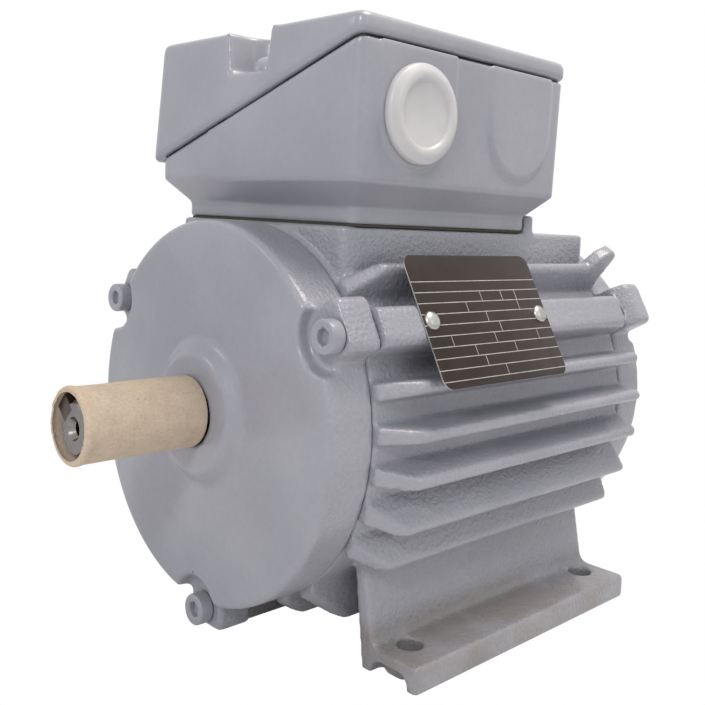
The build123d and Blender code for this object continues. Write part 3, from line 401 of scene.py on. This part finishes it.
def moulded(name, colour, rough):
    """Moulded plastic or rubber with a fine texture."""
    finish = Finish(name)
    shade = finish.noise(7 * MM, 3).ramp(0.3, 0.7)
    finish.put("Base Color", finish.mixed(shade, colour, [0.86 * part for part in colour]))
    finish.put("Roughness", finish.noise(2 * MM, 3).ramp(0.3, 0.7, rough, rough + 0.1))
    finish.relief(finish.noise(0.4 * MM, 3), 0.015 * MM)
    return finish.material


def wound(name, colour):
    """Varnished wire under a lacing tape that goes round the winding."""
    tape, tape_pitch = (0.62, 0.56, 0.42), pi / 12
    finish = Finish(name, Coat_Weight=0.5, Coat_Roughness=0.25)
    x, _, z = finish.axes()
    turn = x.math("ARCTAN2", z - AXIS_Z, x)
    band = abs(turn.wrapped(tape_pitch) / tape_pitch - 0.5).ramp(0.30, 0.36)
    wire = finish.noise(0.6 * MM, 1, place=finish.stretched((1, 0.2, 1)))
    tone = finish.mixed(wire.ramp(0.4, 0.6), colour, [0.5 * part for part in colour])
    finish.put("Base Color", finish.mixed(band, tape, tone))
    finish.put("Roughness", finish.noise(3 * MM, 2).ramp(0.3, 0.7, 0.35, 0.5))
    finish.relief(wire + (1 - band), 0.15 * MM)
    return finish.material


def cardboard_finish():
    """Fibrous board with short pale and dark fibres lying every way, and soft clouds."""
    finish = Finish("wound_cardboard", Specular_IOR_Level=0.15)
    board, dirt = finishes().cardboard, (0.16, 0.10, 0.06)
    cloud = finish.noise(5 * MM, 4).ramp(0.3, 0.7)
    base = finish.mixed(cloud, [0.90 * part for part in board], [1.06 * part for part in board])
    fibres = 0.0
    fibre_stretch = 0.18
    for lean in (0.5, -0.9, 1.4, -0.2):
        x, y, z = finish.axes()
        along = (y * cos(lean) + z * sin(lean)) * fibre_stretch
        over = z * cos(lean) - y * sin(lean)
        place = finish.add("ShaderNodeCombineXYZ", {}, {0: x, 1: along + lean * MM, 2: over})
        fibres = finish.noise(0.55 * MM, 1, place=place).ramp(0.60, 0.72) + fibres
    base = finish.mixed(fibres.ramp(0, 2, 0, 0.34), base, [1.3 * part for part in board])
    dark = finish.noise(0.8 * MM, 3, 0.7).ramp(0.50, 0.74, 0.0, 0.55)
    base = finish.mixed(dark, base, [0.62 * part for part in board])
    speck = finish.cells(2.4 * MM).ramp(0.05, 0.12, 1.0, 0.0) * finish.noise(4 * MM).ramp(0.5, 0.6)
    finish.put("Base Color", finish.mixed(speck * 0.5, base, dirt))
    finish.put("Roughness", fibres.ramp(0, 1, 0.85, 0.95))
    finish.relief(fibres * 0.3 + finish.noise(0.7 * MM, 3) * 0.7, 0.07 * MM)
    return finish.material


def plate_finish(normal, middle):
    """Dark printed ground with a bare generic table of fine pale rules, and bare metal edges."""
    finish = Finish(
        "printed_rating_plate", Coat_Weight=0.03, Coat_Roughness=0.2, Specular_IOR_Level=0.14,
    )
    across = finish.axes()[1] - middle.y
    tangent = normal.cross(Vector((0, 1, 0)))
    up = finish.along(tangent) - middle.dot(tangent)
    pale_ink, bare_aluminium = (0.50, 0.48, 0.46), (0.55, 0.55, 0.54)
    rule, row, first = 0.07 * MM, PLATE_ROW * MM, PLATE_FIRST_RULE * MM
    last = first - PLATE_ROWS * row
    down = first - up
    ruled = abs((down + row / 2).wrapped(row) - row / 2).ramp(rule, 2 * rule, 1, 0)
    below_first = up.ramp(first + 3 * rule, first + 4 * rule, 1, 0)
    above_last = up.ramp(last - 4 * rule, last - 3 * rule)
    ruled = ruled * below_first * above_last
    for number, place in PLATE_UPRIGHTS:
        line = abs(across - place * MM).ramp(rule, 2 * rule, 1, 0)
        inside = abs(down - (number + 0.5) * row).ramp(0.44 * row, 0.48 * row, 1, 0)
        ruled = ruled.upper(line * inside)
    worn = finish.noise(2 * MM, 4).ramp(0.3, 0.6, 0.7, 1.0)
    ground = finishes().plate
    cloud = finish.noise(9 * MM, 3).ramp(0.3, 0.7)
    base = finish.mixed(cloud, ground, [1.3 * part for part in ground])
    base = finish.mixed(ruled * worn, base, pale_ink)
    depth = finish.along(normal) - middle.dot(normal)
    edge = depth.ramp(0.30 * PLATE_THICKNESS, 0.42 * PLATE_THICKNESS, 1, 0)
    finish.put("Base Color", finish.mixed(edge, base, bare_aluminium))
    finish.put("Metallic", edge.ramp(0, 1, 0.0, 0.9))
    finish.put("Roughness", finish.noise(5 * MM, 3).ramp(0.3, 0.7, 0.32, 0.44))
    finish.relief(finish.noise(1.2 * MM, 3), 0.02 * MM)
    return finish.material


def plug_finish():
    """Natural polyethylene: milky, waxy and a little see-through."""
    finish = Finish("natural_plastic", IOR=1.5, Coat_Weight=0.15, Coat_Roughness=0.2)
    finish.put("Subsurface Weight", 0.35)
    finish.put("Subsurface Radius", (1.0, 1.0, 1.0))
    finish.put("Subsurface Scale", 2.5 * MM)
    cloud = finish.noise(5 * MM, 3).ramp(0.3, 0.7)
    colour = finishes().plug
    finish.put("Base Color", finish.mixed(cloud, colour, [0.94 * part for part in colour]))
    finish.put("Roughness", finish.noise(2 * MM, 3).ramp(0.3, 0.7, 0.32, 0.42))
    finish.relief(finish.noise(1.1 * MM, 3), 0.015 * MM)
    return finish.material


def coat(piece, material):
    """Gives a piece one material."""
    piece.data.materials.clear()
    piece.data.materials.append(material)


def only(piece):
    """Selects one object and makes it active."""
    bpy.ops.object.select_all(action="DESELECT")
    piece.select_set(True)
    bpy.context.view_layer.objects.active = piece


def modify(piece, kind, **settings):
    """Adds a modifier, sets it and applies it."""
    only(piece)
    bpy.ops.object.modifier_add(type=kind)
    modifier = piece.modifiers[-1]
    for key, value in settings.items():
        setattr(modifier, key, value)
    bpy.ops.object.modifier_apply(modifier=modifier.name)


def bevel(piece, width, segments, angle):
    """Rounds the edges that turn by more than an angle."""
    modify(
        piece, "BEVEL", width=width, segments=segments, limit_method="ANGLE", angle_limit=angle,
    )


def in_place(piece):
    """Puts the piece's place, turn and size into its mesh."""
    only(piece)
    bpy.ops.object.transform_apply(location=True, rotation=True, scale=True)


def finished(piece, name, material, body, node):
    """Names and coats a finished piece, and puts it on its body in a CAD node's stead."""
    piece.name = name
    piece.data.name = name
    coat(piece, material)
    only(piece)
    bpy.ops.object.shade_smooth_by_angle(angle=SMOOTH_ANGLE)
    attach(piece, body)
    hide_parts(node)


def joined(pieces):
    """Joins several pieces into the first one."""
    bpy.ops.object.select_all(action="DESELECT")
    for piece in pieces:
        piece.select_set(True)
    bpy.context.view_layer.objects.active = pieces[0]
    bpy.ops.object.join()
    return pieces[0]


def soft_casting(node, voxel, softening):
    """Copy of a casting whose edges and corners are rounded as sand and paint leave them."""
    piece = bpy.data.objects.new(node + "_soft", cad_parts[node].data.copy())
    bpy.context.scene.collection.objects.link(piece)
    only(piece)
    bpy.ops.object.mode_set(mode="EDIT")
    bpy.ops.mesh.select_all(action="SELECT")
    bpy.ops.mesh.remove_doubles(threshold=MERGED_WITHIN)
    bpy.ops.object.mode_set(mode="OBJECT")
    modify(piece, "REMESH", mode="VOXEL", voxel_size=voxel, adaptivity=0.0)
    modify(piece, "SMOOTH", factor=0.5, iterations=softening)
    modify(piece, "DECIMATE", decimate_type="COLLAPSE", ratio=modelling().share_kept)
    return piece


def spun(outline, centre, axis, steps):
    """Closed outline of stations and radii in millimetres, spun round an axis at the centre."""
    mesh = bpy.data.meshes.new("spun")
    piece = bpy.data.objects.new("spun", mesh)
    bpy.context.scene.collection.objects.link(piece)
    side = axis.orthogonal().normalized()
    corners = [centre + (axis * station + side * radius) * MM for station, radius in outline]
    count = len(corners)
    mesh.from_pydata(corners, [(i, (i + 1) % count) for i in range(count)], [])
    only(piece)
    bpy.ops.object.mode_set(mode="EDIT")
    bpy.ops.mesh.select_all(action="SELECT")
    bpy.ops.mesh.spin(steps=steps, angle=2 * pi, center=centre, axis=axis)
    bpy.ops.mesh.select_all(action="SELECT")
    bpy.ops.mesh.remove_doubles(threshold=MERGED_WITHIN)
    bpy.ops.mesh.normals_make_consistent(inside=False)
    bpy.ops.object.mode_set(mode="OBJECT")
    return piece


def rod(sides, radius, start, end):
    """Solid rod along the shaft's direction, between two points."""
    bpy.ops.mesh.primitive_cylinder_add(
        vertices=sides, radius=radius, depth=(end - start).length, location=(start + end) / 2,
        rotation=Euler((radians(90), 0, 0)),
    )
    piece = bpy.context.object
    in_place(piece)
    return piece


def cap_screw(tip, facing, length):
    """Socket head cap screw whose head ends at the tip."""
    seat = tip - facing * SCREW_HEAD_HEIGHT
    head = rod(36, SCREW_HEAD_RADIUS, seat, tip)
    corner_radius = SOCKET_FLATS / 2 / cos(pi / 6)
    key = rod(6, corner_radius, tip - facing * SOCKET_DEPTH, tip + facing * SOCKET_DEPTH)
    modify(head, "BOOLEAN", operation="DIFFERENCE", object=key, solver="EXACT")
    bpy.data.objects.remove(key)
    bevel(head, 0.55 * MM, 3, radians(40))
    shank = rod(24, SCREW_SHANK_RADIUS, tip - facing * length, seat)
    bevel(shank, 0.5 * MM, 2, radians(60))
    return [head, shank]


class MOTOR_OT_castings(bpy.types.Operator):
    """Model the housing and the two end shields with rounded cast edges"""

    bl_idname = "motor.castings"
    bl_label = "Castings"

    def execute(self, context):
        housing_paint = enamel("cast_enamel", finishes().cast_grain, 0.8, dusty=0.7)
        cap_paint = enamel("cap_enamel", finishes().cast_grain, 0.8, CAP_SMOOTH_RADIUS)
        for node, name, paint, softening in (
            ("stator_housing", "housing_casting", housing_paint, modelling().softening),
            ("drive_end_shield", "drive_shield_casting", cap_paint, modelling().cap_softening),
            ("rear_end_shield", "rear_shield_casting", cap_paint, modelling().cap_softening),
        ):
            piece = soft_casting(node, modelling().casting_voxel, softening)
            finished(piece, name, paint, "frame", node)
        return {"FINISHED"}


class MOTOR_OT_terminal_box(bpy.types.Operator):
    """Model the terminal box and its lid with rounded edges"""

    bl_idname = "motor.terminal_box"
    bl_label = "Terminal box"

    def execute(self, context):
        paint = enamel("box_enamel", finishes().box_grain, 0.3)
        base = soft_casting("terminal_box_base", modelling().box_voxel, modelling().softening)
        finished(base, "box_casting", paint, "frame", "terminal_box_base")
        lid = soft_casting("terminal_box_lid", modelling().box_voxel, modelling().lid_softening)
        self.trim(lid, modelling().lid_trim)
        finished(lid, "lid_casting", paint, "frame", "terminal_box_lid")
        return {"FINISHED"}

    def trim(self, lid, share):
        """Makes the lid a little narrower, so that it comes flush with the box."""
        low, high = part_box("terminal_box_lid")
        middle = (low + high) / 2
        lid.scale = (share, share, 1)
        lid.location = (middle.x * (1 - share), middle.y * (1 - share), 0)
        in_place(lid)


class MOTOR_OT_shield_screws(bpy.types.Operator):
    """Model the socket head screws of the end shields"""

    bl_idname = "motor.shield_screws"
    bl_label = "End shield screws"

    def execute(self, context):
        paint = enamel("screw_enamel", 0.03 * MM, 0.0)
        for node, name, sign in (
            ("drive_end_screws", "drive_screw_heads", -1),
            ("rear_end_screws", "rear_screw_heads", 1),
        ):
            low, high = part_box(node)
            pieces = []
            for angle in SHIELD_SCREW_ANGLES:
                x = SHIELD_SCREW_CIRCLE * cos(radians(angle))
                z = SHIELD_SCREW_CIRCLE * sin(radians(angle))
                tip = Vector((x, low.y if sign < 0 else high.y, AXIS_Z + z))
                pieces += cap_screw(tip, Vector((0, sign, 0)), high.y - low.y)
            finished(joined(pieces), name, paint, "frame", node)
        return {"FINISHED"}


class MOTOR_OT_rating_plate(bpy.types.Operator):
    """Model the rating plate and its two rivets"""

    bl_idname = "motor.rating_plate"
    bl_label = "Rating plate"

    def execute(self, context):
        angle = radians(SHIELD_SCREW_ANGLES[0])
        normal = Vector((cos(angle), 0, sin(angle)))
        low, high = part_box("rating_plate")
        middle = (low + high) / 2
        bpy.ops.mesh.primitive_cube_add(size=1, location=(0, 0, 0))
        plate = bpy.context.object
        plate.scale = (PLATE_THICKNESS, high.y - low.y, PLATE_HEIGHT)
        in_place(plate)
        bpy.ops.object.mode_set(mode="EDIT")
        shape = bmesh.from_edit_mesh(plate.data)
        for edge in shape.edges:
            run = edge.verts[1].co - edge.verts[0].co
            edge.select_set(abs(run.x) > PLATE_THICKNESS / 2 and abs(run.y) + abs(run.z) < MM / 10)
        bmesh.update_edit_mesh(plate.data)
        bpy.ops.mesh.bevel(offset=PLATE_CORNER, segments=8, affect="EDGES")
        bpy.ops.object.mode_set(mode="OBJECT")
        bevel(plate, 0.12 * MM, 2, radians(50))
        plate.rotation_euler = (0, -angle, 0)
        plate.location = middle
        in_place(plate)
        printed = plate_finish(normal, middle)
        finished(plate, "rating_plate_face", printed, "frame", "rating_plate")
        silver = bare_metal("rivet_aluminium", (0.50, 0.49, 0.46), 0.22)
        rivets = []
        for side in (-1, 1):
            seat = middle + Vector((0, side * RIVET_OFFSET, 0)) + normal * (PLATE_THICKNESS / 2)
            rivets.append(self.rivet(seat, normal))
        finished(joined(rivets), "rivet_heads", silver, "frame", "plate_rivets")
        return {"FINISHED"}

    def rivet(self, seat, normal):
        """One domed rivet."""
        dome_radius, dome_height, shank_radius, shank_length = 2.6, 1.25, 1.3, 5.0
        outline = [(-shank_length, 0.0), (-shank_length, shank_radius), (0.0, shank_radius)]
        dome_steps = 8
        for step in range(dome_steps + 1):
            turn = radians(90) * step / dome_steps
            outline.append((dome_height * sin(turn), dome_radius * cos(turn)))
        return spun(outline, seat, normal, steps=32)


class MOTOR_OT_shaft_sleeve(bpy.types.Operator):
    """Model the wound cardboard sleeve on the shaft end, with its worn rim"""

    bl_idname = "motor.shaft_sleeve"
    bl_label = "Shaft sleeve"

    def execute(self, context):
        low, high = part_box("shaft_sleeve")
        middle = (low + high) / 2
        outer, length = (high.x - low.x) / 2, high.y - low.y
        bpy.ops.mesh.primitive_cylinder_add(
            vertices=96, radius=outer - SLEEVE_WALL / 2, depth=length, end_fill_type="NOTHING",
            location=middle, rotation=Euler((radians(90), 0, 0)),
        )
        sleeve = bpy.context.object
        in_place(sleeve)
        bpy.ops.object.mode_set(mode="EDIT")
        bpy.ops.mesh.select_all(action="SELECT")
        bpy.ops.mesh.subdivide(number_cuts=1)
        bpy.ops.object.mode_set(mode="OBJECT")
        shape = bmesh.new()
        shape.from_mesh(sleeve.data)
        rails = [
            edge for edge in shape.edges
            if abs(edge.verts[0].co.y - edge.verts[1].co.y) > length / 4
        ]
        bmesh.ops.subdivide_edges(shape, edges=rails, cuts=17, use_grid_fill=True)
        shape.to_mesh(sleeve.data)
        shape.free()
        modify(sleeve, "SOLIDIFY", thickness=SLEEVE_WALL, offset=0.0, use_even_offset=True)
        bevel(sleeve, 0.3 * MM, 2, radians(50))
        self.wear(sleeve, low.y, middle)
        board = cardboard_finish()
        finished(sleeve, "cardboard_sleeve", board, "sleeve", "shaft_sleeve")
        return {"FINISHED"}

    def wear(self, sleeve, rim, middle):
        """Dents the tube a little, and rolls and frays its open rim; sizes in millimetres."""
        dent = 0.12
        bead, bead_place, bead_width = 0.30, 1.3, 0.8
        tuck, tuck_length = 0.35, 0.9
        fray, fray_change, fray_length = 0.25, 0.3, 3
        for vertex in sleeve.data.vertices:
            place = vertex.co
            out = Vector((place.x - middle.x, 0, place.z - middle.z)).normalized()
            end = (place.y - rim) / MM
            ragged = noise.noise(out * 4.0) * 0.5 + noise.noise(out * 13.0) * 0.5
            roll = bead * exp(-((end - bead_place) / bead_width) ** 2)
            roll -= tuck * max(0.0, 1 - end / tuck_length) ** 2
            place += out * (noise.noise(place * 90) * dent + roll * (1 + 0.3 * ragged)) * MM
            worn = max(0.0, 1 - end / fray_length) * (fray + fray_change * ragged)
            place.y = max(place.y + worn * MM, rim)
        sleeve.data.update()


class MOTOR_OT_entry_plug(bpy.types.Operator):
    """Model the stepped plastic plug in the front cable entry"""

    bl_idname = "motor.entry_plug"
    bl_label = "Entry plug"

    def execute(self, context):
        low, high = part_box("entry_plug")
        middle = (low + high) / 2
        seat = Vector((low.x + PLUG_SKIRT_LENGTH, middle.y, middle.z))
        edge = (high.z - low.z) / 2 / MM
        # The stepped flange, its sunk face from front and back, and the hollow skirt behind it
        outline = (
            (0.0, edge), (1.2, edge), (1.9, edge - 0.35), (2.3, edge - 1.1), (2.75, edge - 1.7),
            (3.0, edge - 2.4), (3.0, 9.2), (2.7, 8.75), (2.25, 8.5), (2.1, 8.2), (2.1, 0.0),
            (0.9, 0.0), (0.9, 8.0), (0.5, 8.3),
            (-7.6, 8.35), (-8.0, 8.6), (-8.0, 9.3), (-7.4, 9.7), (0.0, 9.7),
        )
        plug = spun(outline, seat, Vector((1, 0, 0)), steps=72)
        bevel(plug, 0.16 * MM, 2, radians(35))
        finished(plug, "plastic_entry_plug", plug_finish(), "plug", "entry_plug")
        return {"FINISHED"}


def machined_finishes():
    """The finish of each CAD node that stays as it was machined."""
    painted = enamel("painted_small_parts", 0.02 * MM, 0.0)
    laminations = laminated("stacked_sheets", (0.34, 0.34, 0.36))
    # Turned steel: its own dark oily tone, darkened a little further as painted shade for the
    # shadow inside the sleeve at the shaft end
    steel_with_painted_shade = bare_metal("turned_steel_with_painted_shade", (0.25, 0.235, 0.225), 0.20, lines=1)
    ground = bare_metal("ground_steel", (0.60, 0.60, 0.61), 0.16)
    drawn = bare_metal("drawn_key_steel", (0.105, 0.085, 0.070), 0.26)
    zinc = bare_metal("zinc_plate", (0.62, 0.63, 0.64), 0.3)
    brass = bare_metal("plain_brass", (0.72, 0.54, 0.26), 0.28)
    tinned = bare_metal("tinned_copper", (0.72, 0.71, 0.68), 0.32)
    rubber = moulded("black_rubber", (0.025, 0.025, 0.027), 0.55)
    named = {
        "stator_core": laminations,
        "rotor_core": laminations,
        "slot_coils": bare_metal("varnished_copper", (0.66, 0.30, 0.14), 0.3, lines=0),
        "front_end_turns": wound("laced_winding", (0.36, 0.14, 0.06)),
        "rotor_cage": bare_metal("die_cast_aluminium", (0.70, 0.71, 0.72), 0.38),
        "shaft": steel_with_painted_shade,
        "shaft_key": drawn,
        "shaft_seal": rubber,
        "wave_spring": bare_metal("spring_steel", (0.42, 0.42, 0.44), 0.25),
        "lid_gasket": rubber,
        # The gasket is olive fibre, darkened almost to black as painted shadow for the shade under
        # the box neck
        "box_gasket": moulded("fibre_gasket_painted_shadow", (0.05, 0.047, 0.026), 0.75),
        "lid_screws": painted,
        "box_screws": zinc,
        "terminal_board": moulded("moulded_phenolic", (0.055, 0.035, 0.028), 0.35),
        "terminal_studs": brass,
        "terminal_nuts": brass,
        "terminal_links": brass,
        "cable_lugs": tinned,
        "winding_leads": moulded("lead_insulation", (0.035, 0.035, 0.04), 0.4),
        "board_screws": zinc,
        "earth_clamp": tinned,
        "earth_screw": zinc,
    }
    named["rear_end_turns"] = named["front_end_turns"]
    for side in ("drive", "rear"):
        named[f"{side}_bearing_outer_ring"] = ground
        named[f"{side}_bearing_inner_ring"] = ground
        named[f"{side}_bearing_closures"] = zinc
        named[f"{side}_bearing_ball_cage"] = zinc
    return named


class MOTOR_OT_carried_over(bpy.types.Operator):
    """Give every piece that stays as it was machined its finish"""

    bl_idname = "motor.carried_over"
    bl_label = "Machined pieces"

    def execute(self, context):
        named = machined_finishes()
        for node, material in named.items():
            coat(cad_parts[node], material)
        for node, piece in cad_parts.items():
            if node not in named and not piece.hide_render:
                raise RuntimeError(f"{node} has no finish")
        return {"FINISHED"}


class MOTOR_OT_stage(bpy.types.Operator):
    """Set up the floor, the lamps, the world and the camera"""

    bl_idname = "motor.stage"
    bl_label = "Stage"

    def execute(self, context):
        scene = context.scene
        scene.view_settings.view_transform = "Standard"
        self.floor()
        self.world(scene)
        for name, place, size, power, colour in LAMPS:
            self.lamp(name, place, size, power, colour)
        self.camera(scene)
        return {"FINISHED"}

    def floor(self):
        """One sheet that throws light up, unseen by the camera as in the cut-out photograph."""
        bpy.ops.mesh.primitive_grid_add(
            x_subdivisions=8, y_subdivisions=8, size=FLOOR_WIDTH, location=(0, 0, 0),
        )
        floor = bpy.context.object
        floor.name = "studio_floor"
        finish = Finish(
            "studio_floor", Roughness=0.9, Specular_IOR_Level=0.1, Base_Color=studio().floor,
        )
        seen = finish.add("ShaderNodeLightPath", {}, {}, "Is Camera Ray")
        clear = finish.add("ShaderNodeBsdfTransparent", {}, {})
        solid = Wire(finish, finish.shader.outputs[0])
        sheet = finish.add("ShaderNodeMixShader", {}, {0: seen, 1: solid, 2: clear})
        finish.links.new(sheet.socket, finish.nodes["Material Output"].inputs["Surface"])
        coat(floor, finish.material)
        in_place(floor)

    def world(self, scene):
        """Even light, with a white background to the camera and in reflections."""
        world = bpy.data.worlds.new("studio_world")
        scene.world = world
        world.use_nodes = True
        nodes, links = world.node_tree.nodes, world.node_tree.links
        background = nodes["Background"]
        background.inputs["Strength"].default_value = 1.0
        paths = nodes.new("ShaderNodeLightPath")
        seen, sharp = nodes.new("ShaderNodeMath"), nodes.new("ShaderNodeMath")
        seen.operation = sharp.operation = "MAXIMUM"
        links.new(paths.outputs["Is Glossy Ray"], sharp.inputs[0])
        links.new(paths.outputs["Is Transmission Ray"], sharp.inputs[1])
        links.new(paths.outputs["Is Camera Ray"], seen.inputs[0])
        links.new(sharp.outputs[0], seen.inputs[1])
        tint = nodes.new("ShaderNodeMix")
        tint.data_type = "RGBA"
        colours = [socket for socket in tint.inputs if socket.type == "RGBA"]
        colours[0].default_value = (*studio().sky, 1)
        colours[1].default_value = (1, 1, 1, 1)
        links.new(seen.outputs[0], tint.inputs["Factor"])
        links.new(next(s for s in tint.outputs if s.type == "RGBA"), background.inputs["Color"])

    def lamp(self, name, place, size, power, colour):
        """Square area lamp at a place, facing the motor."""
        light = bpy.data.lights.new(name, "AREA")
        light.size = size
        light.energy = power
        light.color = colour
        lamp = bpy.data.objects.new(name, light)
        bpy.context.scene.collection.objects.link(lamp)
        lamp.location = place
        facing = Vector(LAMP_TARGET) - Vector(place)
        lamp.rotation_euler = facing.to_track_quat("-Z", "Y").to_euler()

    def camera(self, scene):
        """Camera where the photographer stood."""
        azimuth, elevation, roll = (radians(angle) for angle in CAMERA_ANGLES)
        back = Vector(
            (sin(azimuth) * cos(elevation), -cos(azimuth) * cos(elevation), sin(elevation))
        )
        level = Vector((cos(azimuth), sin(azimuth), 0))
        upright = back.cross(level)
        right = level * cos(roll) + upright * sin(roll)
        up = upright * cos(roll) - level * sin(roll)
        data = bpy.data.cameras.new("photo_camera")
        data.lens = studio().lens
        data.sensor_width = SENSOR_WIDTH
        data.shift_x, data.shift_y = CAMERA_SHIFT
        camera = bpy.data.objects.new("photo_camera", data)
        scene.collection.objects.link(camera)
        turn = Matrix((right, up, back)).transposed()
        camera.matrix_world = Matrix.Translation(Vector(CAMERA_PLACE)) @ turn.to_4x4()
        scene.camera = camera


class MOTOR_PT_panel(bpy.types.Panel):
    """Lists the motor's pieces in the sidebar"""

    bl_idname = "MOTOR_PT_panel"
    bl_label = "Motor"
    bl_space_type = "VIEW_3D"
    bl_region_type = "UI"
    bl_category = "Motor"

    def draw(self, context):
        for name, group in GROUPS.items():
            box = self.layout.box()
            for setting in group.__annotations__:
                box.prop(getattr(context.scene, name), setting)
        for operator in OPERATORS:
            self.layout.operator(operator.bl_idname)


OPERATORS = (
    MOTOR_OT_stage, MOTOR_OT_castings, MOTOR_OT_terminal_box, MOTOR_OT_shield_screws,
    MOTOR_OT_rating_plate, MOTOR_OT_shaft_sleeve, MOTOR_OT_entry_plug, MOTOR_OT_carried_over,
)
GROUPS = {
    "motor_finishes": MotorFinishes,
    "motor_modelling": MotorModelling,
    "motor_studio": MotorStudio,
}


def register():
    """Registers the settings, operators and panel."""
    for group in GROUPS.values():
        bpy.utils.register_class(group)
    for name, group in GROUPS.items():
        setattr(bpy.types.Scene, name, PointerProperty(type=group))
    for operator in OPERATORS:
        bpy.utils.register_class(operator)
    bpy.utils.register_class(MOTOR_PT_panel)


def unregister():
    """Takes them away again."""
    bpy.utils.unregister_class(MOTOR_PT_panel)
    for operator in reversed(OPERATORS):
        bpy.utils.unregister_class(operator)
    for name, group in GROUPS.items():
        delattr(bpy.types.Scene, name)
        bpy.utils.unregister_class(group)


def main():
    """Models and dresses the motor."""
    register()
    bpy.ops.motor.stage()
    bpy.ops.motor.castings()
    bpy.ops.motor.terminal_box()
    bpy.ops.motor.shield_screws()
    bpy.ops.motor.rating_plate()
    bpy.ops.motor.shaft_sleeve()
    bpy.ops.motor.entry_plug()
    bpy.ops.motor.carried_over()


if __name__ == "__main__":
    main()
